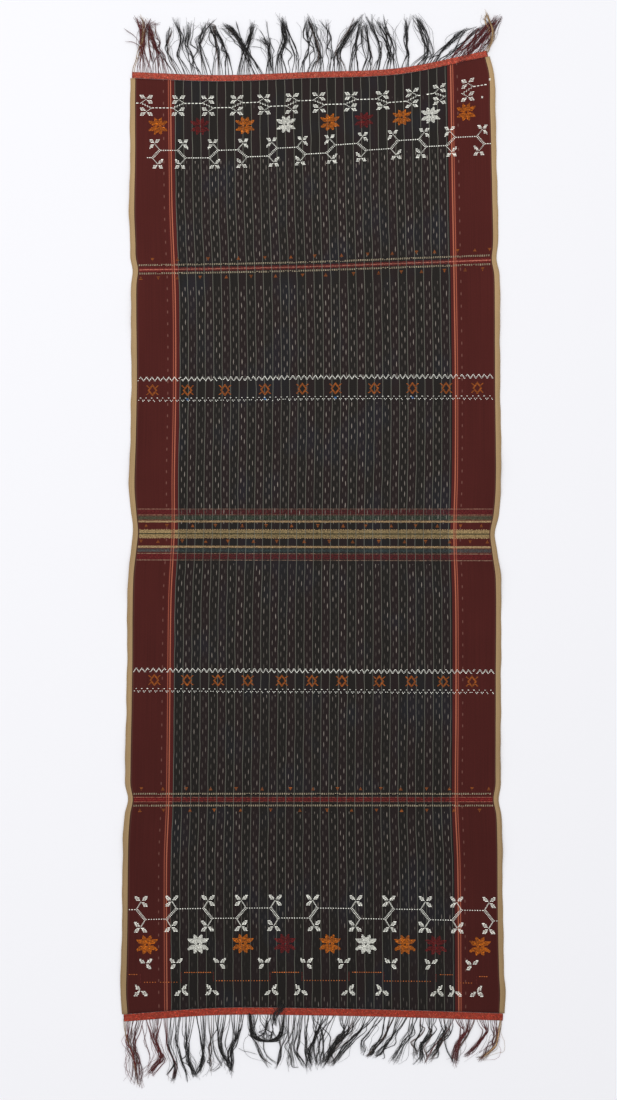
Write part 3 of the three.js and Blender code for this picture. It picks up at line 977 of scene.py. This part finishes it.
lower = Inlay()
vine(
    lower, LOWER_VINE, {"high": 1579, "low": 1598},
    off=(9.8, 14.6), leaf=(12.4, 10.2, 7.6), dash=2.2, gap=2.6,
)
for column, yarn in LOWER_STARS:
    star(lower, column, 1646.4, 1.0, yarn)
for column, third in UPPER_PINWHEELS:
    pinwheel(lower, column, 1683.4, ((-12.2, -8.8), (12.2, -9.0), (10.2 * third, 10.6)))
for number, column in enumerate(LOWER_PINWHEELS):
    first = -1 if number % 2 == 0 else 1
    pinwheel(lower, column, 1735.7, ((10.2 * first, -11.0), (-12.6, 8.2), (13.4, 7.2)))
for begin, end, down in ORANGE_DASHES:
    lower.line(*column_x((begin, end)), down, 2.9, 1.5, 1.7, "dot", spread=0.3)
for begin, end, down in ORANGE_DOTS:
    lower.line(*column_x((begin, end)), down, 2.2, 2.9, 1.9, "dot", spread=0.3, skip=0.04)
meander = sorted(ORANGE_DASHES + ORANGE_DOTS)
for (_, end, down_from), (begin, _, down_to) in zip(meander, meander[1:]):
    turn = float(column_x((end + begin) / 2))
    ladder(lower, turn, down_from, turn, down_to, 2.6, "upright")

inlays = [
    inlay.piece(name, yarn_floats)
    for name, inlay in (("motifs_upper", upper), ("motifs_middle", middle), ("motifs_lower", lower))
]


# The sheet: an upper and a lower skin over one grid, joined round the rim.
SHEET_COLUMNS, SHEET_ROWS = 100, 256
BAKE_RIM = 0.005
EDGE_WAVE = 0.8  # how far the selvedges waver in and out
EDGE_REACH = 9.0


def wavered(x, down):
    """The same points with the selvedges slightly uneven."""
    left, right = selvedges(down)
    wave = np.sin(down / 21 + 0.8 * np.sin(down / 47)) + 0.6 * np.sin(down / 8.3)
    from_left = np.clip(1 - (x - left) / EDGE_REACH, 0, 1)
    from_right = np.clip(1 - (right - x) / EDGE_REACH, 0, 1)
    return x + EDGE_WAVE / 1.6 * (from_left * wave + from_right * np.roll(wave, 37 * (SHEET_COLUMNS + 1)))


def woven_sheet(material):
    x, down = grid(SHEET_COLUMNS, SHEET_ROWS)
    y = weft_height(x, down)
    under = lift(x, down)
    uneven = wavered(x, down)
    points = np.concatenate([
        np.stack([uneven, y, under + CLOTH_THICKNESS], axis=1),
        np.stack([uneven, y, under], axis=1),
    ])
    wide, count = SHEET_COLUMNS + 1, len(x)
    index = np.arange(count).reshape(-1, wide)
    top = np.stack([index[:-1, :-1], index[1:, :-1], index[1:, 1:], index[:-1, 1:]], axis=-1).reshape(-1, 4)
    rim = np.concatenate([index[0, ::-1], index[1:, 0], index[-1, 1:], index[-2:0:-1, -1]])
    ahead = np.roll(rim, -1)
    walls = np.stack([rim, rim + count, ahead + count, ahead], axis=1)
    faces = np.concatenate([top, top[:, ::-1] + count, walls])
    piece = make_piece("cloth_sheet", points, faces.tolist(), material)
    across = weave_across(x, down)
    loops = np.empty(len(piece.data.loops), np.int64)
    piece.data.loops.foreach_get("vertex_index", loops)
    weave = piece.data.uv_layers.new(name="Weave")
    places = np.stack([across[loops % count], down[loops % count]], axis=1)
    weave.data.foreach_set("uv", places.ravel() * MM)
    half = 0.5 - 2 * BAKE_RIM
    u = BAKE_RIM + half * (x - x.min()) / (x.max() - x.min())
    v = 1 - down / CLOTH_LENGTH
    side = np.zeros(len(loops))
    side[4 * len(top):8 * len(top)] = 0.5
    bake = piece.data.uv_layers.new(name="OFBake")
    bake.data.foreach_set("uv", np.stack([u[loops % count] + side, v[loops % count]], axis=1).ravel())
    return piece


sheet = woven_sheet(weave_material())
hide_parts("cloth")

# The borders: a rounded band along each end, overlaid with slanted twined stitches.
BORDER_WIDTH = {"upper": 11.5, "lower": 13.5}
BORDER_GAP = 0.3
BORDER_INSET = 3.0
BORDER_STATIONS = 240
BAND_SECTION = table(
    "out up",
    (0, 0),
    (0, 0.35),
    (0.12, 0.75),
    (0.34, 0.95),
    (0.66, 0.95),
    (0.88, 0.75),
    (1, 0.35),
    (1, 0),
)
BAND_HEIGHT = 1.9
BAND_GAP = 0.2  # how much further out the band begins
STITCH_ROWS = table(
    "out up slant",
    (0.12, 1.25, 1),
    (0.32, 1.7, -1),
    (0.51, 1.8, 1),
    (0.7, 1.7, -1),
    (0.89, 1.25, 1),
)
STITCH_PITCH = 2.7
STITCH_ENDS = 2  # how far inside the border's ends the stitches begin
HALF_STITCH_LONG, HALF_STITCH_OUT = 1.0, 0.95
PALE_STITCHES = 0.2  # the share of them
BORDER_FADE = {"upper": (1.0, 0.94, 0.9), "lower": (0.82, 0.56, 0.46)}  # of red, green and blue
END_DOWN = {"upper": 0.0, "lower": CLOTH_LENGTH}
END_WAY = {"upper": 1, "lower": -1}


def off_end(end, x, out):
    """Points off one end of the cloth, out beyond its edge and square to it."""
    down = np.full_like(x, END_DOWN[end])
    y = weft_height(x, down)
    slope = (weft_height(x + 4, down) - weft_height(x - 4, down)) / 8
    size = np.hypot(1, slope)
    step = END_WAY[end] * out
    return np.stack([x - slope / size * step, y + step / size], axis=1)


def end_edges(end):
    left, right = selvedges(np.array([END_DOWN[end]]))
    return left[0] + BORDER_INSET, right[0] - BORDER_INSET


def twined_border(end, material):
    left, right = end_edges(end)
    stations = np.linspace(left, right, BORDER_STATIONS)
    rings = []
    for out, up in zip(*BAND_SECTION.values()):
        flat = off_end(end, stations, BORDER_GAP + BAND_GAP + out * BORDER_WIDTH[end])
        rings.append(np.column_stack([flat, np.full(len(stations), up * BAND_HEIGHT)]))
    rings = np.stack(rings, axis=1)[None]
    if END_WAY[end] > 0:
        rings = rings[:, :, ::-1]
    base_points, base_faces = tubes(rings)
    base_tint = np.tile(rgb(*COLOURS["border_core"]), (len(base_points), 1))

    starts, ends = [], []
    for number, (out, up, slant) in enumerate(zip(*STITCH_ROWS.values())):
        first = left + STITCH_ENDS + (number % 2) * STITCH_PITCH / 2
        x = np.arange(first, right - STITCH_ENDS, STITCH_PITCH)
        x = x + chance.normal(0, 0.15, len(x))
        middle_out = BORDER_GAP + out * BORDER_WIDTH[end]
        height = np.full(len(x), up)
        for side, points in ((-1, starts), (1, ends)):
            flat = off_end(end, x + side * HALF_STITCH_LONG, middle_out + side * slant * HALF_STITCH_OUT)
            points.append(np.column_stack([flat, height]))
    starts, ends = np.concatenate(starts), np.concatenate(ends)
    count = len(starts)
    widths = chance.uniform(1.5, 2.0, count)
    heights = chance.uniform(0.55, 0.8, count)
    stitch_points, stitch_faces = bars(starts, ends, widths, heights)
    tint = tinted("border", count, 0.26)
    pale = chance.random(count) < PALE_STITCHES
    tint[pale] = tinted("border_pale", pale.sum(), 0.15)
    offset = len(base_points)
    faces = base_faces + [[corner + offset for corner in face] for face in stitch_faces]
    points = np.concatenate([base_points, stitch_points])
    tints = np.concatenate([base_tint, np.repeat(tint, len(stitch_points) // count, axis=0)])
    piece = make_piece("twined_border_" + end, points, faces, material, tints * BORDER_FADE[end])
    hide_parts("end_border_" + end)
    return piece


border_yarn = yarn_material("border_yarn", 0.0007, 0.88)
borders = [twined_border(end, border_yarn) for end in END_DOWN]

# The bunches of the fringe: the span of their roots, three places on their way, and their breadth on the way
# and at the tips.
BUNCH_COLUMNS = "from to neck_x neck_y bend_x bend_y tip_x tip_y broad tip_broad"
BUNCHES = {
    "upper": table(
        BUNCH_COLUMNS,
        (-334, -308, -322, 947, -321, 978, -324, 1009, 11.5, 24),
        (-302, -268, -291, 938, -299, 961, -310, 996, 14, 15),
        (-262, -250, -276, 941, -278, 961, -268, 994, 6.6, 6),
        (-247, -238, -258, 938, -251, 970, -262, 1004, 6.6, 6),
        (-224, -211, -230, 930, -241, 959, -235, 997, 6.6, 7),
        (-208, -198, -215, 947, -216, 966, -199, 1004, 6.6, 7),
        (-184, -171, -181, 948, -188, 974, -197, 998, 4.6, 6),
        (-165, -157, -164, 940, -173, 962, -190, 998, 4.6, 6),
        (-144, -121, -128, 947, -119, 972, -114, 995, 8, 13),
        (-117, -95, -129, 948, -146, 973, -165, 994, 9, 12),
        (-90, -76, -83, 936, -86, 954, -92, 973, 12, 26),
        (-70, -49, -63, 934, -53, 964, -59, 1004, 8, 7),
        (-44, -28, -31, 936, -40, 966, -54, 1007, 7.6, 8),
        (-23, -15, -20, 925, -10, 957, -14, 1003, 6.6, 5),
        (-10, 22, 13, 934, 3, 976, -7, 1004, 11, 7),
        (26, 33, 34, 940, 32, 970, 26, 1000, 4.6, 7),
        (37, 57, 46, 938, 61, 966, 88, 1005, 12, 8),
        (76, 84, 79, 940, 84, 966, 90, 1002, 4.6, 5),
        (99, 105, 109, 934, 103, 966, 99, 996, 4.6, 4.6),
        (120, 127, 129, 936, 123, 970, 104, 1007, 4.6, 4.6),
        (133, 145, 145, 936, 140, 966, 125, 1005, 6.6, 6),
        (152, 166, 155, 934, 150, 964, 134, 1006, 5, 5),
        (170, 184, 181, 940, 177, 972, 179, 1006, 7, 9),
        (187, 213, 219, 941, 212, 975, 197, 1008, 12, 9),
        (219, 236, 240, 942, 262, 966, 290, 988, 9, 9),
        (240, 262, 270, 944, 292, 966, 318, 991, 9, 8),
        (264, 292, 292, 952, 314, 975, 340, 1000, 10, 9),
        (294, 321, 316, 950, 334, 974, 352, 1006, 11, 10),
        (324, 333, 340, 962, 337, 988, 329, 1016, 6, 8),
    ),
    "lower": table(
        BUNCH_COLUMNS,
        (-355, -322, -346, -937, -339, -968, -334, -1016, 13, 16),
        (-317, -288, -300, -934, -287, -970, -312, -1000, 12, 12),
        (-282, -265, -276, -944, -262, -982, -267, -1012, 9, 9),
        (-261, -251, -260, -934, -249, -975, -240, -1010, 6.8, 7),
        (-247, -234, -243, -943, -236, -977, -225, -1005, 9, 8),
        (-214, -204, -206, -943, -209, -972, -221, -1001, 6.8, 6.5),
        (-199, -189, -193, -938, -195, -968, -196, -991, 5, 5),
        (-186, -160, -177, -930, -175, -956, -160, -986, 10, 7),
        (-150, -128, -144, -928, -155, -956, -156, -995, 8, 8),
        (-124, -123, -118, -923, -107, -944, -84, -980, 2.2, 2.2),
        (-119, -110, -115, -912, -107, -930, -90, -936, 4.6, 4.6),
        (-99, -74, -87, -908, -87, -921, -86, -935, 24, 26),
        (-64, -57, -58, -912, -65, -929, -82, -935, 4.6, 4.6),
        (-54, -47, -51, -923, -62, -950, -69, -984, 6.6, 7),
        (-43, -36, -40, -934, -44, -958, -38, -986, 6.6, 6.6),
        (-32, -20, -28, -924, -31, -957, -14, -988, 9, 7),
        (-17, -8, -14, -924, -12, -955, -11, -990, 7, 6.6),
        (-4, 41, 12, -922, 7, -953, 5, -982, 26, 17),
        (46, 92, 62, -918, 38, -949, 22, -980, 18, 12),
        (97, 120, 92, -916, 64, -944, 36, -981, 12, 9),
        (124, 134, 112, -913, 93, -938, 95, -962, 4.8, 4.8),
        (139, 157, 136, -925, 117, -949, 105, -966, 7, 6.6),
        (161, 180, 154, -925, 137, -948, 120, -966, 7, 6.6),
        (184, 199, 184, -920, 167, -944, 152, -975, 11, 12),
        (202, 211, 205, -914, 192, -939, 194, -971, 7, 7),
        (217, 237, 224, -920, 207, -948, 208, -978, 9, 9),
        (241, 264, 254, -917, 239, -943, 222, -970, 13.5, 13),
        (273, 304, 291, -916, 276, -943, 269, -979, 11.5, 12),
        (315, 332, 330, -917, 311, -944, 289, -965, 8, 8),
        (339, 359, 350, -925, 344, -947, 318, -971, 11.5, 12),
    ),
}
FRINGE_INSIDE = 1.0  # how deep inside the border the threads begin
STRAND_PITCH = 3.9  # the warp's threads leave the border in small strands
STRAND_THREADS = 5
STRAND_SPREAD = 0.24
THREAD_RADIUS = 0.33
THREAD_STATIONS = 18
HAIRS = 110
HAIR_RADIUS = 0.27

# Locks that cross, loop or stray from the bunches: five places on the way, and how many threads, how far
# apart and how high they lie.
WISP_COLUMNS = "x1 y1 x2 y2 x3 y3 x4 y4 x5 y5 threads spread high"
WISPS = {
    "upper": table(
        WISP_COLUMNS,
        (-322, 935, -330, 960, -340, 974, -350, 981, -358, 987, 2, 0.6, 2),
        (-320, 938, -333, 956, -345, 962, -352, 962, -361, 963, 2, 0.6, 2),
        (-306, 925, -312, 955, -313, 978, -305, 993, -291, 997, 5, 1, 2),
        (-322, 950, -320, 975, -316, 990, -312, 998, -309, 1004, 8, 0.9, 2),
        (-129, 946, -137, 962, -147, 978, -157, 990, -168, 994, 20, 2.4, 2.2),
        (-104, 912, -112, 926, -125, 941, -136, 962, -150, 984, 9, 0.9, 2),
        (-130, 951, -134, 962, -138, 975, -143, 990, -146, 1001, 7, 0.8, 2.5),
        (-81, 908, -82, 928, -84, 945, -97, 962, -112, 968, 3, 0.9, 1.2),
        (-84, 908, -86, 935, -96, 950, -110, 954, -123, 953, 2, 0.7, 2.8),
        (-82, 908, -84, 940, -91, 966, -98, 979, -104, 988, 3, 0.9, 1.5),
        (-78, 908, -79, 940, -84, 970, -87, 990, -89, 1006, 3, 0.9, 1.5),
        (331, 943, 340, 966, 340, 987, 334, 1003, 328, 1021, 12, 1, 3.4),
        (280, 922, 300, 946, 317, 966, 331, 985, 346, 1006, 24, 3, 1.5),
        (334, 954, 344, 970, 341, 990, 332, 1008, 324, 1012, 4, 0.8, 2.4),
    ),
    "lower": table(
        WISP_COLUMNS,
        (-360, -893, -358, -915, -352, -935, -346, -955, -341, -975, 3, 0.8, 1),
        (-325, -905, -321, -925, -316, -945, -311, -962, -308, -974, 2, 0.6, 1),
        (-262, -975, -267, -985, -272, -992, -276, -997, -279, -1000, 6, 0.9, 1.5),
        (-176, -940, -172, -965, -178, -983, -188, -991, -196, -991, 3, 0.9, 1.5),
        (-120, -884, -114, -927, -88, -936, -61, -929, -54, -884, 18, 1.3, 1.5),
        (-118, -884, -110, -921, -88, -934, -65, -925, -56, -884, 6, 1.7, 1.2),
        (-107, -939, -104, -955, -99, -966, -90, -974, -80, -980, 4, 1, 1),
        (-95, -937, -94, -952, -88, -964, -80, -972, -70, -978, 4, 1, 1),
        (-64, -935, -62, -947, -64, -957, -66, -970, -68, -983, 9, 1.1, 1.2),
        (-141, -950, -131, -955, -122, -957, -114, -959, -106, -961, 2, 0.5, 1),
        (-57, -868, -62, -875, -70, -883, -74, -892, -72, -903, 28, 2.1, 3.4),
        (252, -905, 251, -937, 256, -955, 263, -968, 270, -979, 7, 1, 1.5),
        (357, -893, 352, -915, 346, -935, 338, -955, 326, -970, 4, 1, 1),
    ),
}


def thread_ways(flat, high):
    """Smooth curves through threads' points: flat is thread by point by coordinate, high their heights."""
    controls = np.concatenate([flat, high[..., None]], axis=2)
    before = 2 * controls[:, :1] - controls[:, 1:2]
    after = 2 * controls[:, -1:] - controls[:, -2:-1]
    padded = np.concatenate([before, controls, after], axis=1)
    spans = controls.shape[1] - 1
    at = np.linspace(0, spans, THREAD_STATIONS)
    i = np.minimum(at.astype(int), spans - 1)
    u = (at - i)[None, :, None]
    p0, p1, p2, p3 = (padded[:, i + k] for k in range(4))
    square = 2 * p0 - 5 * p1 + 4 * p2 - p3
    cube = 3 * p1 - p0 - 3 * p2 + p3
    return 0.5 * (2 * p1 + (p2 - p0) * u + square * u**2 + cube * u**3)


def thread_rings(ways, radius):
    """Three-sided tubes round the ways, thinner to the tips."""
    tangent = np.gradient(ways, axis=1)
    side = np.stack([-tangent[..., 1], tangent[..., 0], np.zeros(tangent.shape[:2])], axis=-1)
    side /= np.linalg.norm(side, axis=-1, keepdims=True) + 1e-9
    thin = np.interp(np.linspace(0, 1, ways.shape[1]), (0, 0.8, 1), (1, 1, 0.45))
    size = radius[:, None, None] * thin[None, :, None]
    up = np.array([0, 0, 1.0])
    turns = (math.pi / 2, math.pi * 7 / 6, math.pi * 11 / 6)
    return np.stack([ways + size * (math.cos(turn) * side + math.sin(turn) * up) for turn in turns], axis=2)


def stretch_tips(flat, least, most):
    """Make the last step of each way longer by a share of it, or shorter."""
    flat[:, -1] += (flat[:, -1] - flat[:, -2]) * chance.uniform(least, most, (len(flat), 1))


def looseness(count, share, most):
    """1 for most of them, and from 2 up to most for a share of them."""
    return np.where(chance.random(count) < share, chance.uniform(2, most, count), 1)


# Where across the weave the roots turn from black to maroon and to tan, on the left and on the right.
MAROON_ROOTS = (88, 613)
TAN_ROOTS = (8, 701)
PALE_ROOTS = 0.04  # the share of odd pale ones


def warp_tint(end, x):
    """The colour of each root's thread, from the warp stripe it comes out of."""
    across = weave_across(x, np.full_like(x, END_DOWN[end]))
    tints = tinted("black", len(x), 0.2)
    maroon = (across < MAROON_ROOTS[0]) | (across > MAROON_ROOTS[1])
    tints[maroon] = tinted("fringe_maroon", maroon.sum(), 0.3)
    tints[chance.random(len(x)) < PALE_ROOTS] = rgb(*COLOURS["fringe_stray"])
    tan = (across < TAN_ROOTS[0]) | (across > TAN_ROOTS[1])
    tints[tan] = tinted("fringe_tan", tan.sum(), 0.25)
    return tints


# A bunch's eight places: what is left there of the fan of its roots, and how a strand's threads part and pile
# up.
STRAND_STEPS = table(
    "fan part pile",
    (1, 0.5, 0),
    (0.9, 0.7, 0.4),
    (0.66, 1, 0.8),
    (0.34, 1.4, 1),
    (0.18, 1.8, 1),
    (0.08, 2.1, 1),
    (0, 2.8, 0.8),
    (0, 5, 0.3),
)
ROOT_SHAKE = 1.7
STRAND_SHAKE = 1.6
LANE_SPREAD, LANE_REACH, LANE_SHAKE = 0.3, 0.6, 0.13  # as shares of the bunch's breadth
LOOSE_STRANDS, LOOSEST_STRAND = 0.22, 3.6
LOOSE_THREADS, LOOSEST_THREAD = 0.17, 4


def strand_ways(end):
    """The way of each strand, from its root in the border to the tip of its bunch."""
    bunches = BUNCHES[end]
    left, right = end_edges(end)
    root_x = np.arange(left + 1.5, right - 1, STRAND_PITCH)
    count = len(root_x)
    root_x = np.clip(root_x + chance.normal(0, ROOT_SHAKE, count), left + 0.6, right - 0.6)
    gap = np.maximum(bunches["from"][:, None] - root_x, root_x - bunches["to"][:, None])
    home = np.argmin(np.maximum(gap, 0), axis=0)
    own = {name: column[home] for name, column in bunches.items()}
    aside = root_x - (own["from"] + own["to"]) / 2
    out = BORDER_GAP + BORDER_WIDTH[end] - FRINGE_INSIDE
    middle = off_end(end, root_x - aside, out)
    neck, bend, tip = (
        np.column_stack([own[name + "_x"], own[name + "_y"]]) for name in ("neck", "bend", "tip")
    )
    spine = [
        middle, middle + 0.25 * (neck - middle), middle + 0.6 * (neck - middle), neck,
        (neck + bend) / 2, bend, (bend + tip) / 2, tip,
    ]
    lane = np.clip(chance.normal(0, LANE_SPREAD, count), -LANE_REACH, LANE_REACH)
    loose = looseness(count, LOOSE_STRANDS, LOOSEST_STRAND)
    ways = []
    for number, (place, fan) in enumerate(zip(spine, STRAND_STEPS["fan"])):
        narrow = 1 - fan
        breadth = own["tip_broad"] if number == len(spine) - 1 else own["broad"]
        side = fan * aside + narrow * breadth * (lane * loose + chance.normal(0, LANE_SHAKE, count))
        shaken = chance.normal(0, STRAND_SHAKE, (count, 2)) * (narrow * loose)[:, None]
        ways.append(place + shaken + side[:, None] * np.array([1.0, 0]))
    ways[0] = off_end(end, root_x, out)
    ways = np.stack(ways, axis=1)
    stretch_tips(ways, -0.45, 0.3)
    return ways, root_x


def fringe_strands(end):
    """The way, the radius and the tint of every thread of the bunches."""
    strands, root_x = strand_ways(end)
    count = len(strands) * STRAND_THREADS
    flat = np.repeat(strands, STRAND_THREADS, axis=0)
    own_side = chance.normal(0, 1, (count, 1, 2)) * np.array([1, 0.35])
    wander = chance.normal(0, 0.6, flat.shape)
    loose = looseness(count, LOOSE_THREADS, LOOSEST_THREAD)[:, None, None]
    loose = 1 + (loose - 1) * (1 - STRAND_STEPS["fan"])[None, :, None]
    flat = flat + (own_side + wander) * loose * STRAND_SPREAD * STRAND_STEPS["part"][None, :, None]
    stretch_tips(flat, -0.4, 0.2)
    layer = np.repeat(chance.uniform(0, 1.8, len(strands)), STRAND_THREADS)
    high = THREAD_RADIUS + (layer + chance.uniform(0, 0.6, count))[:, None] * STRAND_STEPS["pile"]
    high[:, 0] = chance.uniform(0.7, 1.3, count)
    radius = THREAD_RADIUS * chance.uniform(0.75, 1.15, count)
    return thread_ways(flat, high), radius, np.repeat(warp_tint(end, root_x), STRAND_THREADS, axis=0)


def stray_hairs(end):
    """Fine single threads that leave their bunches in loose arcs."""
    strands, root_x = strand_ways(end)
    pick = chance.integers(0, len(strands), HAIRS)
    flat = strands[pick]
    swing = chance.normal(0, 1, (HAIRS, 1, 2)) * np.array([9, 3.5])
    arc = swing * np.array([0.3, 0.7, 1.0, 1.1])[None, :, None]
    flat[:, 3:7] += arc + chance.normal(0, 2.4, (HAIRS, 4, 2))
    flat[:, 7] += swing[:, 0] * chance.uniform(-0.6, 1.3, (HAIRS, 1))
    high = HAIR_RADIUS + chance.uniform(0, 2.2, (HAIRS, 1)) * STRAND_STEPS["pile"]
    return thread_ways(flat, high), np.full(HAIRS, HAIR_RADIUS), warp_tint(end, root_x)[pick]


def wisps(end):
    """The locks that cross or loop."""
    rows = WISPS[end]
    each = rows["threads"].astype(int)
    many = {name: np.repeat(column, each) for name, column in rows.items()}
    count = int(each.sum())
    places = [(many["x%d" % number], many["y%d" % number]) for number in range(1, 6)]
    flat = np.stack([np.column_stack(place) for place in places], axis=1)
    own_side = chance.normal(0, 1, (count, 1, 2))
    flat = flat + (own_side + chance.normal(0, 0.45, flat.shape)) * many["spread"][:, None, None]
    stretch_tips(flat, -0.5, 0.3)
    high = np.tile(many["high"][:, None] + chance.uniform(-0.4, 0.8, (count, 1)), (1, 5))
    radius = THREAD_RADIUS * chance.uniform(0.8, 1.1, count)
    return thread_ways(flat, high), radius, warp_tint(end, many["x1"])


def loose_fringe(end, material):
    parts = zip(fringe_strands(end), stray_hairs(end), wisps(end))
    ways, radius, tints = (np.concatenate(part) for part in parts)
    ways[..., 2] = np.maximum(ways[..., 2], radius[:, None])
    points, faces = tubes(thread_rings(ways, radius))
    piece = make_piece("fringe_threads_" + end, points, faces, material, tints)
    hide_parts("fringe_" + end)
    return piece


fringe_yarn = yarn_material("fringe_yarn", 0.0005, 0.8)
fringes = [loose_fringe(end, fringe_yarn) for end in END_DOWN]

# The surface that it lies on, the light and the camera.
FLOOR_SIZE = 14.0
FLOOR_LEVEL = -0.0004
ROOM_LIGHT = 0.79
WINDOW_PLACE = (-1.2, 1.5, 6.0)
WINDOW_SIZE = 3.0
WINDOW_ENERGY = 125
CAMERA_HEIGHT = 4.935
CAMERA_LENS = 85
PHOTO_CENTRE = (308.5, 550)


def floor():
    bpy.ops.mesh.primitive_grid_add(
        x_subdivisions=4, y_subdivisions=4, size=FLOOR_SIZE, location=(0, 0, FLOOR_LEVEL),
    )
    made = bpy.context.object
    made.name = "pale_floor"
    g = Graph("pale_paper")
    grain = g.noise(g.node("TexCoord").outputs["Object"], scale=900.0)
    made.data.materials.append(g.dress(g.blend(g.times(grain, 0.06), "paper", "paper_grain"), 0.95, 0.1))


def window():
    """A round soft light that points at the middle of the cloth."""
    x, y, z = WINDOW_PLACE
    data = bpy.data.lights.new("window", "AREA")
    data.shape = "DISK"
    data.size = WINDOW_SIZE
    data.energy = WINDOW_ENERGY
    light = bpy.data.objects.new("window", data)
    light.location = WINDOW_PLACE
    light.rotation_euler = (math.atan2(math.hypot(x, y), z), 0, math.atan2(-x, y))
    bpy.context.scene.collection.objects.link(light)


def studio():
    world = bpy.data.worlds.new("studio")
    world.use_nodes = True
    background = world.node_tree.nodes["Background"]
    background.inputs["Color"].default_value = (1, 1, 1, 1)
    background.inputs["Strength"].default_value = ROOM_LIGHT
    bpy.context.scene.world = world
    bpy.context.scene.view_settings.view_transform = "Standard"


def camera():
    """Straight above the place that the photograph's middle shows."""
    data = bpy.data.cameras.new("camera")
    data.lens = CAMERA_LENS
    made = bpy.data.objects.new("camera", data)
    column, row = PHOTO_CENTRE
    x = (column - MIDDLE_COLUMN) * PIXEL + SHIFT[0]
    y = (MIDDLE_ROW - row) * PIXEL + SHIFT[1]
    made.location = (x * MM, y * MM, CAMERA_HEIGHT)
    bpy.context.scene.collection.objects.link(made)
    bpy.context.scene.camera = made


floor()
window()
studio()
camera()
